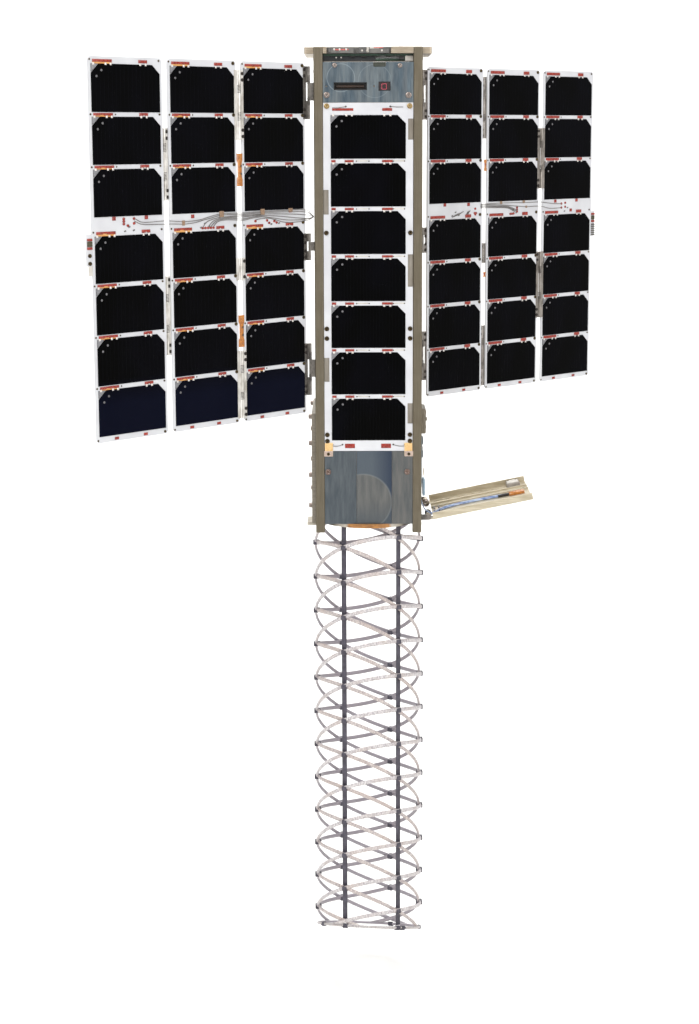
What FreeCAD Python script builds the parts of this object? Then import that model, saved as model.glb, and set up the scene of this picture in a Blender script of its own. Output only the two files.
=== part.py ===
import FreeCAD, Part
import math
import os

# A four-unit satellite with two folded-out solar wings, a lattice antenna that hangs
# from its lower end and a shallow cable tray hinged low on its right side.
# Millimetres. The origin is the middle of the body, +Z runs up along the rails,
# -Y is the front face with the service plate, and +X is to the right of that face.

Vec = FreeCAD.Vector

# Driving dimensions: body
body_side = 100.0
body_length = 454.0
rail_side = 8.5
rail_chamfer = 0.8
rail_end_chamfer = 0.6
foot_length = 8.5
skin_thickness = 1.6
skin_recess = 2.4
plate_thickness = 1.8
seam_gap = 0.3
overrun = 1.0
touch_gap = 0.3
level_share = 0.01
upright_share = 0.99

# Top end
top_plate_thickness = 6.0
top_slot_height = 7.8
tab_reach = 8.7
tab_corner = 2.0
top_pocket_depth = 2.5
top_pocket_border = 9.0
top_pocket_corner = 5.0
top_recess_low_share = -0.38
top_recess_high_share = 0.21
top_recess_depth = 7.0
top_board_thickness = 1.6
top_board_inset = 7.0
top_board_drop = 0.3
side_bracket_height = 4.0
side_bracket_reach = 7.0
side_bracket_width = 22.0

# Service plate: places across it are shares of the body's side, from the middle of the face
service_plate_height = 36.7
socket_width = 30.4
socket_height = 7.0
socket_depth = 6.0
socket_middle_share = -0.164
socket_below_plate_top = 21.9
socket_wall = 1.4
socket_floor = 1.5
display_width = 10.4
display_height = 7.6
display_depth = 4.0
display_recess = 1.0
display_middle_share = 0.15
plate_notch_width = 11.6
plate_notch_depth = 4.4
plate_notch_middle_share = 0.104
plate_notch_corner = 1.5
plate_hole_radius = 0.9
plate_hole_shares = (-0.382, 0.054)

# Solar cells and body boards
cell_thickness = 0.4
cell_crop = 7.6
diode_gap = 0.5
board_thickness = 1.6
body_board_side_margin = 6.95
body_board_top_margin = 11.3
body_board_bottom_margin = 10.2
body_cell_gap = 4.2
body_cell_count = 7
body_notch_depth = 4.7
# Top and bottom of each notch, as shares of the board's length from its top
body_notches_right = ((0.045, 0.104), (0.429, 0.522), (0.86, 0.92))
body_notches_left = ((0.245, 0.315), (0.727, 0.797))
clip_width = 7.5
clip_height = 12.0
clip_overlap = 7.7
clip_thickness = 0.5

# Lower blank plates: two upright seams, as shares of the body's side
lower_plate_height = 70.1
seam_shares = (-0.113, 0.22)

# Lower end
deck_thickness = 4.0
disc_beyond_side = 2.4
disc_thickness = 3.8
lower_tab_reach = 8.5
lower_tab_width = 24.0
lower_tab_thickness = 3.0

# Side fittings
side_plate_thickness = 3.8
side_plate_height = 105.7
side_plate_inset = 4.0
release_block_width = 30.0
release_block_height = 24.0
release_block_reach = 5.6
release_block_below_wing = 2.2
release_block_chamfer = 1.1
release_pin_radius = 2.0
release_pin_length = 1.6
harness_strip_width = 12.0
harness_strip_reach = 2.2
harness_strip_below_block = 4.0
harness_strip_length = 50.0

# Avionics stack inside the body
stack_top_below_slot = 6.0
stack_below_board = 1.9

# Wings
left_wing_open_deg = 132.0
right_wing_open_deg = 129.0
root_axis_out = 4.5
root_axis_inset = 3.8
wing_board_corner = 2.0
wing_board_below_top = 14.5
wing_gap = 6.0
wing_cell_gap = 3.8
wing_harness_gap = 16.0
wing_board_top_margin = 6.1
wing_board_bottom_margin = 5.3
wing_cells_above_harness = 3
wing_cell_count = 7
wing_board_side_margin = 2.45
stow_gap = 0.7
cell_fold_gap = 0.8
back_fold_gap = 1.2

# Wing hinges
knuckle_radius = 1.25
pin_radius = 0.6
pin_clearance = 0.08
knuckle_gap = 0.3
leaf_thickness = 0.4
leaf_overlap = 2.1
leaf_clearance = 0.35
root_foot_width = 4.6
root_foot_thickness = 0.6
round_sides = 8
# Top and bottom of each hinge, as shares of a wing board's length from its top
root_hinge_spans = ((0.009, 0.157), (0.48, 0.557), (0.797, 0.948))
root_knuckle_shares = (0.31, 0.65)
inner_hinge_spans = ((0.025, 0.214), (0.538, 0.6), (0.797, 0.988))
outer_hinge_spans = ((0.182, 0.373), (0.575, 0.788))
fold_knuckle_shares = (0.33, 0.67)

# Lattice antenna
lattice_beyond_side = 0.9
strand_size = 2.6
strand_gap = 0.15
strand_step_deg = 20.0
level_pitch = 34.3
strands_per_hand = 3
first_column_deg = -27.2
first_level_drop = 11.1
lean_right_share = -0.119
lean_back_share = -0.595
strand_station_count = 120
bisection_steps = 24
lattice_length = 417.8
end_lean_back_share = -0.452
end_lean_right_share = -0.049
end_ring_size = 3.2
end_ring_step_deg = 15.0
joint_width = 6.0
joint_height = 5.0
joint_thickness = 1.2
joint_gap = 0.05
strip_width = 4.6
strip_thickness = 0.8
strip_columns = (0, 1)

# Tray arm
tray_axis_out = 7.5
tray_axis_above_feet = 12.5
tray_raise_deg = 11.5
tray_length = 97.0
tray_width = 80.0
tray_wall_height = 6.5
tray_wall = 1.2
tray_start = 4.0
tray_base_below_axis = 3.0
tray_rib_height = 1.6
tray_rib_width = 1.6
tray_latch_chamfer = 0.8
tray_rib_shares = (0.05, 0.22)
tray_knuckle_radius = 2.6
tray_knuckle_length = 9.0
tray_knuckle_inset = 2.0
tray_pin_radius = 1.2
tray_bracket_thickness = 1.6
tray_latch_length = 13.0
tray_latch_width = 16.0
tray_latch_height = 4.0
tray_latch_from_tip = 6.0
tray_cable_radius = 0.9
# Where the cable starts and ends across the tray, as shares of its width
tray_cable_shares = (-0.42, -0.12)

# Derived places
half = body_side / 2
top_z = body_length / 2
feet_z = -body_length / 2
rail_inner = half - rail_side
slot_top_z = top_z - top_plate_thickness
face_top_z = slot_top_z - top_slot_height
face_bottom_z = feet_z + foot_length
skin_outer = half - skin_recess
skin_inner = skin_outer - skin_thickness
board_outer = skin_outer + board_thickness
board_top_z = face_top_z - service_plate_height
board_bottom_z = face_bottom_z + lower_plate_height + seam_gap
body_board_length = board_top_z - board_bottom_z
cell_width = 2 * (rail_inner - body_board_side_margin)
body_cells_height = body_board_length - body_board_top_margin - body_board_bottom_margin
body_cell_height = (body_cells_height + body_cell_gap) / body_cell_count - body_cell_gap
wing_top_z = top_z - wing_board_below_top
wing_bottom_z = face_bottom_z + side_plate_height + stow_gap + touch_gap
wing_board_length = wing_top_z - wing_bottom_z
wing_board_width = cell_width + 2 * wing_board_side_margin
wing_cells_height = wing_board_length - wing_board_top_margin - wing_board_bottom_margin
wing_gaps_height = (wing_cell_count - 2) * wing_cell_gap + wing_harness_gap
wing_cell_height = (wing_cells_height - wing_gaps_height) / wing_cell_count
wing_pitch = wing_board_width + wing_gap
release_block_top_z = wing_bottom_z - release_block_below_wing
lattice_radius = half + lattice_beyond_side
cell_fold_axis = board_thickness / 2 + cell_thickness + cell_fold_gap / 2
back_fold_axis = board_thickness / 2 + back_fold_gap / 2
strand_top_z = face_bottom_z - disc_thickness
strand_turn = level_pitch * strands_per_hand
strand_height = strand_size / math.cos(math.atan2(strand_turn, 2 * math.pi * lattice_radius))
column_deg = 360 / (2 * strands_per_hand)
rise_per_degree = strand_turn / 360
first_level_z = feet_z - first_level_drop
tray_axis = Vec(half + tray_axis_out, 0, feet_z + tray_axis_above_feet)


def box(low, high):
    """An upright box from its lowest to its highest corner."""
    size = Vec(*high) - Vec(*low)
    return Part.makeBox(size.x, size.y, size.z, Vec(*low))


def block_between(x0, y0, z0, x1, y1, z1):
    """A box between two corners given in any order."""
    return box((min(x0, x1), min(y0, y1), min(z0, z1)), (max(x0, x1), max(y0, y1), max(z0, z1)))


def rod(radius, length, start, direction):
    return Part.makeCylinder(radius, length, Vec(*start), Vec(*direction))


def small_rod(radius, length, start, direction):
    """A small pin or hole, drawn with a few flats that stay inside its round."""
    axis = Vec(*direction)
    across = Vec(0, 0, 1) if abs(axis.z) < level_share else Vec(1, 0, 0)
    beside = axis.cross(across)
    loop = []
    for n in range(round_sides + 1):
        a = 2 * math.pi * (n % round_sides) / round_sides
        loop.append(Vec(*start) + across * (radius * math.cos(a)) + beside * (radius * math.sin(a)))
    return Part.Face(Part.makePolygon(loop)).extrude(axis * length)


def round_upright(shape, radius):
    """Rounds the edges of a block that run along Z."""
    edges = [e for e in shape.Edges if abs(e.tangentAt(e.FirstParameter).z) > upright_share]
    return shape.makeFillet(radius, edges)


def turn(shape, degrees):
    """Turns a shape about the Z axis."""
    return shape.rotated(Vec(0, 0, 0), Vec(0, 0, 1), degrees)


def export(name, solids):
    solids = solids if isinstance(solids, list) else [solids]
    flat = [s for shape in solids for s in shape.Solids]
    shape = flat[0] if len(flat) == 1 else Part.makeCompound(flat)
    shape.exportStep("parts/" + name + ".step")


# Body structure

def rail():
    """The front-left rail: a square bar with eased corners and ends."""
    bar = box((-half, -half, feet_z), (-rail_inner, -rail_inner, top_z))
    uprights = [e for e in bar.Edges if abs(e.tangentAt(e.FirstParameter).z) > upright_share]
    bar = bar.makeChamfer(rail_chamfer, uprights)
    ends = [e for e in bar.Edges if abs(e.tangentAt(e.FirstParameter).z) < level_share]
    return bar.makeChamfer(rail_end_chamfer, ends)


def cross_plate(low_z, high_z, reach_x, reach_y):
    """An end plate notched at its corners for the four rails."""
    across = box((-reach_x, -rail_inner, low_z), (reach_x, rail_inner, high_z))
    along = box((-rail_inner, -reach_y, low_z), (rail_inner, reach_y, high_z))
    return across.fuse(along).removeSplitter()


def top_plate():
    """The upper end plate. Its side tabs reach over the folded wings."""
    plate = cross_plate(slot_top_z, top_z, half, half)
    tab = box((-half - tab_reach, -rail_inner, slot_top_z), (half + tab_reach, rail_inner, top_z))
    plate = plate.fuse(round_upright(tab, tab_corner)).removeSplitter()
    inner = half - top_pocket_border
    pocket = box((-inner, -inner, top_z - top_pocket_depth), (inner, inner, top_z + overrun))
    plate = plate.cut(round_upright(pocket, top_pocket_corner))
    recess = box(
        (top_recess_low_share * body_side, -half - overrun, slot_top_z - overrun),
        (top_recess_high_share * body_side, -half + top_recess_depth, top_z + overrun),
    )
    return plate.cut(recess)


def top_edge_connectors():
    """Small connectors in the recess of the end plate's front edge, on their own strip."""
    low_x = top_recess_low_share * body_side + touch_gap
    span = (top_recess_high_share - top_recess_low_share) * body_side - 2 * touch_gap
    back_y = -half + top_recess_depth
    strip_y = back_y - top_board_thickness
    strip = box((low_x, strip_y, slot_top_z), (low_x + span, back_y, top_z - touch_gap))
    blocks = [strip]
    block_shares = ((0.06, 0.42, 0.8), (0.5, 0.62, 0.95), (0.66, 0.97, 0.7))
    for start, end, height in block_shares:
        blocks.append(box(
            (low_x + span * start, -half + touch_gap, slot_top_z + touch_gap),
            (low_x + span * end, strip_y, slot_top_z + top_plate_thickness * height),
        ))
    shape = blocks[0]
    for block in blocks[1:]:
        shape = shape.fuse(block)
    return shape.removeSplitter()


def top_board():
    """The circuit board seen through the slot under the end plate, with two edge connectors."""
    side = half - top_board_inset
    high = slot_top_z - top_board_drop
    low = high - top_board_thickness
    notch = side - rail_inner + touch_gap
    board = box((-side, -side, low), (side, side, high))
    for sx in (-1, 1):
        for sy in (-1, 1):
            corner = box((-notch, -notch, low - overrun), (notch, notch, high + overrun))
            board = board.cut(corner.translated(Vec(sx * side, sy * side, 0)))
    connector_shares = ((0.72, 0.84, 0.5), (0.87, 0.98, 0.62))
    for start, end, drop in connector_shares:
        board = board.fuse(box(
            (rail_inner * start, -side, low - top_slot_height * drop),
            (rail_inner * end, -side + top_recess_depth, low),
        ))
    return board.removeSplitter()


def skin(face):
    """One structural side skin between two rails; the front one is cut for the socket and display."""
    panel = box((-rail_inner, -skin_outer, face_bottom_z), (rail_inner, -skin_inner, face_top_z))
    if face == "front":
        for window in (socket_block(touch_gap), display_block(touch_gap)):
            panel = panel.cut(window)
    angle = {"front": 0, "right": 90, "rear": 180, "left": 270}[face]
    return turn(panel, angle)


def service_window(width, height, middle_x, low_y, high_y, grow):
    middle_z = face_top_z - socket_below_plate_top
    return box(
        (middle_x - width / 2 - grow, low_y - grow, middle_z - height / 2 - grow),
        (middle_x + width / 2 + grow, high_y + grow, middle_z + height / 2 + grow),
    )


def socket_block(grow):
    """The outside of the socket's housing."""
    width = socket_width + 2 * socket_wall
    height = socket_height + 2 * socket_wall
    back = -skin_outer + socket_depth - plate_thickness + socket_floor
    return service_window(width, height, socket_middle_share * body_side, -skin_outer, back, grow)


def display_block(grow):
    middle_x = display_middle_share * body_side
    front = -skin_outer - display_recess / 2
    back = -skin_outer + display_depth
    return service_window(display_width, display_height, middle_x, front, back, grow)


def service_plate():
    """The upper blank plate with a socket window, a display window, a notch and two small holes."""
    front = -skin_outer - plate_thickness
    plate = box((-rail_inner, front, board_top_z + seam_gap), (rail_inner, -skin_outer, face_top_z))
    windows = (
        (socket_width, socket_height, socket_middle_share, 0),
        (display_width, display_height, display_middle_share, touch_gap),
    )
    cuts = [
        service_window(width, height, share * body_side, front, -skin_outer, grow)
        for width, height, share, grow in windows
    ]
    notch_x = plate_notch_middle_share * body_side
    notch = box(
        (notch_x - plate_notch_width / 2, front - overrun, face_top_z - plate_notch_depth),
        (notch_x + plate_notch_width / 2, -skin_outer + overrun, face_top_z + overrun),
    )
    low_edges = [
        e for e in notch.Edges
        if abs(e.tangentAt(e.FirstParameter).y) > upright_share and e.CenterOfMass.z < face_top_z
    ]
    cuts.append(notch.makeFillet(plate_notch_corner, low_edges))
    middle_z = face_top_z - socket_below_plate_top
    depth = plate_thickness + 2 * overrun
    for share in plate_hole_shares:
        start = (share * body_side, front - overrun, middle_z)
        cuts.append(small_rod(plate_hole_radius, depth, start, (0, 1, 0)))
    for cut in cuts:
        plate = plate.cut(cut)
    return plate


def service_connector():
    """The socket's housing, open to the front, behind the service plate's window."""
    housing = socket_block(0)
    cavity = service_window(
        socket_width, socket_height, socket_middle_share * body_side, -skin_outer - overrun,
        -skin_outer + socket_depth - plate_thickness, 0,
    )
    return housing.cut(cavity)


def status_display():
    return display_block(0)


# Solar cells

def cell(left_x, top_z_here, height, back_y):
    """One cell with two cropped upper corners, and the small diode in the left one."""
    right_x = left_x + cell_width
    low_z = top_z_here - height
    outline = [
        (left_x, 0, low_z), (right_x, 0, low_z), (right_x, 0, top_z_here - cell_crop),
        (right_x - cell_crop, 0, top_z_here), (left_x + cell_crop, 0, top_z_here),
        (left_x, 0, top_z_here - cell_crop),
    ]
    inset = cell_crop - 2 * diode_gap
    diode = [
        (left_x, 0, top_z_here - inset), (left_x + inset, 0, top_z_here), (left_x, 0, top_z_here),
    ]
    solids = []
    for points in (outline, diode):
        loop = [Vec(*p) for p in points]
        loop.append(loop[0])
        face = Part.Face(Part.makePolygon(loop)).translated(Vec(0, back_y, 0))
        solids.append(face.extrude(Vec(0, -cell_thickness, 0)))
    return solids


def body_board():
    """The front solar board, notched where the skin shows beside it."""
    edge = rail_inner - touch_gap / 2
    board = box((-edge, -board_outer, board_bottom_z), (edge, -skin_outer, board_top_z))
    notches = [(edge - body_notch_depth, edge + overrun, *span) for span in body_notches_right]
    notches += [(-edge - overrun, -edge + body_notch_depth, *span) for span in body_notches_left]
    for low_x, high_x, start, end in notches:
        board = board.cut(box(
            (low_x, -board_outer - overrun, board_top_z - end * body_board_length),
            (high_x, -skin_outer + overrun, board_top_z - start * body_board_length),
        ))
    return board


def body_cells():
    cells = []
    for row in range(body_cell_count):
        high_z = board_top_z - body_board_top_margin - row * (body_cell_height + body_cell_gap)
        cells += cell(-cell_width / 2, high_z, body_cell_height, -board_outer)
    return cells


def lower_plates():
    """The lower blank face, in three plates with upright seams between them."""
    front = -skin_outer - plate_thickness
    high_z = board_bottom_z - seam_gap
    edges = [-rail_inner, *(share * body_side for share in seam_shares), rail_inner]
    plates = []
    for low_x, high_x in zip(edges, edges[1:]):
        low = low_x + (seam_gap / 2 if low_x > -rail_inner else 0)
        high = high_x - (seam_gap / 2 if high_x < rail_inner else 0)
        plates.append(box((low, front, face_bottom_z), (high, -skin_outer, high_z)))
    return plates


def rear_upper_plate():
    plate = box(
        (-rail_inner, -skin_outer - plate_thickness, board_top_z + seam_gap),
        (rail_inner, -skin_outer, face_top_z),
    )
    return turn(plate, 180)


def board_clips():
    """Thin clips that hold the lower corners of the front and rear boards to the blank plates."""
    clips = []
    front = -skin_outer - plate_thickness - clip_thickness
    high_z = board_bottom_z + clip_overlap
    step_z = board_bottom_z - seam_gap
    for angle in (0, 180):
        for side in (-1, 1):
            inner = side * (rail_inner - clip_width - touch_gap)
            outer = side * (rail_inner - touch_gap)
            low_z = high_z - clip_height
            low = block_between(inner, front, low_z, outer, front + clip_thickness, step_z)
            high = block_between(inner, front, step_z, outer, -board_outer, high_z)
            clips.append(turn(low.fuse(high).removeSplitter(), angle))
    return clips


# Lower end and side fittings

def bottom_deck():
    """The lower end plate, with a thin lip under the folded left wing."""
    deck = cross_plate(face_bottom_z, face_bottom_z + deck_thickness, skin_inner, skin_inner)
    lip = box(
        (-half - lower_tab_reach, -rail_inner, face_bottom_z - lower_tab_thickness),
        (-skin_inner + deck_thickness, -rail_inner + lower_tab_width, face_bottom_z),
    )
    return deck.fuse(lip).removeSplitter()


def antenna_disc():
    """The film-covered disc under the deck that the strands hang from, clear of the lip."""
    radius = half + disc_beyond_side
    disc = rod(radius, disc_thickness, (0, 0, face_bottom_z), (0, 0, -1))
    lip_end_x = -skin_inner + deck_thickness + touch_gap
    lip_end_y = -rail_inner + lower_tab_width + touch_gap
    lip_space = box(
        (-radius - overrun, -rail_inner - overrun, face_bottom_z - disc_thickness - overrun),
        (lip_end_x, lip_end_y, face_bottom_z + overrun),
    )
    return disc.cut(lip_space)


def left_side_plate():
    """The plate below the folded left wing."""
    side = half - side_plate_inset
    return box(
        (-half - side_plate_thickness, -side, face_bottom_z),
        (-half, side, face_bottom_z + side_plate_height),
    )


def release_block():
    """The hold-down block that catches the folded tray's tip."""
    low_z = release_block_top_z - release_block_height
    block = box(
        (skin_outer, -release_block_width / 2, low_z),
        (half + release_block_reach, release_block_width / 2, release_block_top_z),
    )
    outer = [
        e for e in block.Edges
        if e.CenterOfMass.x > half + release_block_reach - touch_gap
    ]
    block = block.makeChamfer(release_block_chamfer, outer)
    middle_z = (low_z + release_block_top_z) / 2
    start = (half + release_block_reach, 0, middle_z)
    return block.fuse(small_rod(release_pin_radius, release_pin_length, start, (1, 0, 0)))


def harness_strip():
    """The flat cable strip on the right skin between the release block and the tray hinge."""
    high_z = release_block_top_z - release_block_height - harness_strip_below_block
    return box(
        (skin_outer, -harness_strip_width / 2, high_z - harness_strip_length),
        (half + harness_strip_reach, harness_strip_width / 2, high_z),
    )


def avionics_stack():
    """The electronics and battery stack, as one plain block behind the skins."""
    side = skin_inner - touch_gap
    corner = rail_inner - touch_gap
    low_z = board_bottom_z - stack_below_board
    high_z = face_top_z - stack_top_below_slot
    across = box((-side, -corner, low_z), (side, corner, high_z))
    along = box((-corner, -side, low_z), (corner, side, high_z))
    block = across.fuse(along).removeSplitter()
    socket = socket_block(touch_gap)
    display = display_block(touch_gap)
    return block.cut(socket).cut(display)


# Wings. Each is built flat: X runs out from the root axis, Y is the cell side, Z is up.

def wing_side(side):
    """What differs between the wings: where they sit, and which way the leaves fold."""
    left = side == "left"
    out = -1 if left else 1
    stow = stow_gap + board_thickness / 2 + (0 if left else cell_thickness)
    return {
        "board_y": out * (root_axis_out - stow),
        "heading": left_wing_open_deg + 90 if left else right_wing_open_deg + 270,
        "hand": -out,
        "root": Vec(out * (half + root_axis_out), out * (half - root_axis_inset), 0),
        "folds": (-out, out),
        "root_fold": -out,
    }


def place(shape, wing):
    """Moves a flat wing piece to its place on the opened wing."""
    if wing["hand"] < 0:
        shape = shape.mirror(Vec(0, 0, 0), Vec(0, 1, 0))
    return turn(shape, wing["heading"]).translated(wing["root"])


def panel_start(index):
    """How far out from the root axis a panel's board begins."""
    return wing_gap / 2 + index * wing_pitch


def wing_board(wing, index):
    x = panel_start(index)
    y = wing["board_y"] - board_thickness / 2
    board = box((x, y, wing_bottom_z), (x + wing_board_width, y + board_thickness, wing_top_z))
    corners = [e for e in board.Edges if abs(e.tangentAt(e.FirstParameter).y) > upright_share]
    return place(board.makeChamfer(wing_board_corner, corners), wing)


def wing_cells(wing, index):
    """Seven cells: three above the harness gap and four below it."""
    x = panel_start(index) + wing_board_side_margin
    front = wing["board_y"] + board_thickness / 2
    cells = []
    z = wing_top_z - wing_board_top_margin
    for row in range(wing_cell_count):
        if row:
            beside_harness = row == wing_cells_above_harness
            z -= wing_cell_height + (wing_harness_gap if beside_harness else wing_cell_gap)
        for solid in cell(x, z, wing_cell_height, 0):
            flat = solid.mirror(Vec(0, 0, 0), Vec(0, 1, 0)).translated(Vec(0, front, 0))
            if wing["hand"] > 0:
                flat = flat.mirror(Vec(x + cell_width / 2, 0, 0), Vec(1, 0, 0))
            cells.append(place(flat, wing))
    return cells


def fold_axis(wing, joint):
    """Where the axis between two panels lies: beyond the cells, or behind the boards."""
    fold = wing["folds"][joint]
    lift = cell_fold_axis if fold > 0 else back_fold_axis
    return panel_start(joint + 1) - wing_gap / 2, wing["board_y"] + fold * lift, fold


def hinge_heights(span):
    """The lowest and highest point of a hinge, from its shares of the board's length."""
    start, end = span
    return wing_top_z - end * wing_board_length, wing_top_z - start * wing_board_length


def leaf(axis, direction, board_face, fold, span, own):
    """A hinge leaf: a strip on the board's edge, with a web to each of its own knuckles.

    direction is +1 when the board lies outward of the axis and -1 when inward.
    own lists the spans of this leaf's knuckles; the strip stays clear of the other leaf's.
    """
    x, y = axis
    near = x + direction * (knuckle_radius + leaf_clearance)
    far = x + direction * (wing_gap / 2 + leaf_overlap)
    web_end = x + direction * (wing_gap / 2 - touch_gap)
    surface = board_face + fold * leaf_thickness
    low_z, high_z = hinge_heights(span)
    shape = block_between(near, board_face, low_z, far, surface, high_z)
    web_y = y if abs(y - board_face) > knuckle_radius else surface
    for low_z, high_z in own:
        shape = shape.fuse(block_between(x, board_face, low_z, web_end, web_y, high_z))
        shape = shape.fuse(small_rod(knuckle_radius, high_z - low_z, (x, y, low_z), (0, 0, 1)))
    return shape


def pin_bore(x, y, low_z, high_z):
    """The hole that a hinge pin turns in, wider than the pin's round all the way along."""
    radius = (pin_radius + pin_clearance) / math.cos(math.pi / round_sides)
    return small_rod(radius, high_z - low_z + 2 * overrun, (x, y, low_z - overrun), (0, 0, 1))


def knuckle_spans(span, shares):
    """The heights of a hinge's two end knuckles, and of its middle one."""
    bottom, top = hinge_heights(span)
    length = top - bottom
    upper = top - length * shares[0]
    lower = top - length * shares[1]
    ends = [(bottom, lower - knuckle_gap / 2), (upper + knuckle_gap / 2, top)]
    middle = [(lower + knuckle_gap / 2, upper - knuckle_gap / 2)]
    return ends, middle


def hinge_pin(axis, span):
    low_z, high_z = hinge_heights(span)
    return rod(pin_radius, high_z - low_z, (*axis, low_z), (0, 0, 1))


def root_leaf(wing, span):
    """The wing's side of a root hinge, with two end knuckles and the pin."""
    ends, _ = knuckle_spans(span, root_knuckle_shares)
    fold = wing["root_fold"]
    face = wing["board_y"] + fold * board_thickness / 2
    shape = leaf((0, 0), 1, face, fold, span, ends).fuse(hinge_pin((0, 0), span))
    return place(shape.removeSplitter(), wing)


def fold_leaf(wing, joint, inward, span):
    """One side of a hinge between two panels. The inward side carries the pin."""
    x, y, fold = fold_axis(wing, joint)
    ends, middle = knuckle_spans(span, fold_knuckle_shares)
    face = wing["board_y"] + fold * board_thickness / 2
    if inward:
        shape = leaf((x, y), -1, face, fold, span, ends).fuse(hinge_pin((x, y), span))
    else:
        shape = leaf((x, y), 1, face, fold, span, middle).cut(pin_bore(x, y, *middle[0]))
    return place(shape.removeSplitter(), wing)


def wing_leaves(wing, index):
    """Every hinge leaf that is screwed to one panel."""
    leaves = []
    spans = (inner_hinge_spans, outer_hinge_spans)
    if index == 0:
        leaves += [root_leaf(wing, span) for span in root_hinge_spans]
    if index > 0:
        leaves += [fold_leaf(wing, index - 1, False, span) for span in spans[index - 1]]
    if index < len(spans):
        leaves += [fold_leaf(wing, index, True, span) for span in spans[index]]
    return leaves


def root_brackets(wing):
    """The blocks on the rail that carry the root hinges' middle knuckles."""
    blocks = []
    root = wing["root"]
    side = math.copysign(1, root.x)
    for span in root_hinge_spans:
        _, ((low_z, high_z),) = knuckle_spans(span, root_knuckle_shares)
        rail_x = half * side
        outer_y = root.y + side * root_foot_width / 2
        inner_y = root.y - side * knuckle_radius
        foot_x = rail_x + side * root_foot_thickness
        foot = block_between(rail_x, outer_y, low_z, foot_x, inner_y, high_z)
        arm = block_between(rail_x, root.y + side * knuckle_radius, low_z, root.x, inner_y, high_z)
        barrel = small_rod(knuckle_radius, high_z - low_z, (root.x, root.y, low_z), (0, 0, 1))
        shape = foot.fuse(arm).fuse(barrel).cut(pin_bore(root.x, root.y, low_z, high_z))
        blocks.append(shape.removeSplitter())
    return blocks


# Lattice antenna

def lattice_lean(x, y):
    """The rings of joints lean down to the back, so a strand's height also follows its place."""
    return lean_right_share * x + lean_back_share * y


def lattice_point(angle_deg, z, offset):
    """A point on the lattice's drum. 0 degrees is the front.

    The drum has flat facets between evenly spaced angles, so that crossing strands stay clear.
    """
    into_facet = math.radians((angle_deg - first_column_deg) % strand_step_deg - strand_step_deg / 2)
    facet = math.cos(math.radians(strand_step_deg / 2)) / math.cos(into_facet)
    a = math.radians(angle_deg)
    x = math.sin(a)
    y = -math.cos(a)
    r = (lattice_radius + offset) * facet
    return Vec(r * x, r * y, z + lattice_radius * lattice_lean(x, y))


def end_height(x, y):
    """The slanted plane that the end ring's top lies in."""
    return feet_z - lattice_length + end_lean_back_share * y + end_lean_right_share * x


def faceted_bar(sections, closed):
    """A bar with four-cornered sections, joined by flat facets."""
    faces = []
    count = len(sections)
    for n in range(count if closed else count - 1):
        here = sections[n]
        there = sections[(n + 1) % count]
        for i in range(4):
            j = (i + 1) % 4
            for corners in ((here[i], here[j], there[j]), (here[i], there[j], there[i])):
                faces.append(Part.Face(Part.makePolygon([*corners, corners[0]])))
    if not closed:
        for section in (sections[0], sections[-1]):
            faces.append(Part.Face(Part.makePolygon([*section, section[0]])))
    solid = Part.makeSolid(Part.makeShell(faces))
    if solid.Volume < 0:
        solid.reverse()
    return solid


def upright_section(point, size, height):
    """A section in the upright plane through the antenna's axis."""
    out = Vec(point.x, point.y, 0).normalize() * (size / 2)
    up = Vec(0, 0, height / 2)
    return [point + out + up, point + out - up, point - out - up, point - out + up]


def strand(hand, number):
    """One helical strand from under the disc down to the end ring.

    The rings lean more than a strand climbs, so it starts where it last comes out from under the disc.
    hand is +1 for the strands that rise to the right across the front.
    """
    offset = hand * (strand_size + strand_gap) / 2
    start_deg = first_column_deg + number * 2 * column_deg

    def at(turned):
        z = first_level_z - turned * rise_per_degree
        return lattice_point(start_deg - hand * turned, z, offset)

    def spare_above(turned):
        return strand_top_z - strand_height / 2 - touch_gap - at(turned).z

    def spare_below(turned):
        p = at(turned)
        slant = abs(end_lean_back_share) * strand_size / 2
        return p.z - strand_height / 2 - slant - touch_gap - end_height(p.x, p.y)

    start_turn = -strand_turn / rise_per_degree
    stations = [start_turn + n * strand_step_deg for n in range(strand_station_count)]
    first = 1 + max(n for n, turned in enumerate(stations) if spare_above(turned) <= 0)
    last = next(n for n, turned in enumerate(stations) if n > first and spare_below(turned) < 0)
    start = crossing(spare_above, stations[first - 1], stations[first])
    end = crossing(spare_below, stations[last], stations[last - 1])
    turns = [start] + stations[first:last] + [end]
    return faceted_bar([upright_section(at(t), strand_size, strand_height) for t in turns], False)


def crossing(spare, without, within):
    """The turn between two stations where a spare distance comes down to nothing."""
    for _ in range(bisection_steps):
        middle = (without + within) / 2
        if spare(middle) > 0:
            within = middle
        else:
            without = middle
    return within


def strands(hand):
    return [strand(hand, n) for n in range(strands_per_hand)]


def lattice_joints():
    """The clamps where two strands cross, just outside each crossing."""
    clamps = []
    out = lattice_radius + strand_gap / 2 + strand_size + joint_gap
    lowest_clear = end_ring_size + joint_height
    for column in range(2 * strands_per_hand):
        angle = first_column_deg + column * column_deg
        height = first_level_z + (level_pitch / 2 if column % 2 else 0)
        point = lattice_point(angle, height, 0)
        while point.z > end_height(point.x, point.y) + lowest_clear:
            if point.z < strand_top_z - joint_height:
                clamp = box(
                    (-joint_width / 2, -out - joint_thickness, point.z - joint_height / 2),
                    (joint_width / 2, -out, point.z + joint_height / 2),
                )
                clamps.append(turn(clamp, angle))
            height -= level_pitch
            point = lattice_point(angle, height, 0)
    return clamps


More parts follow.
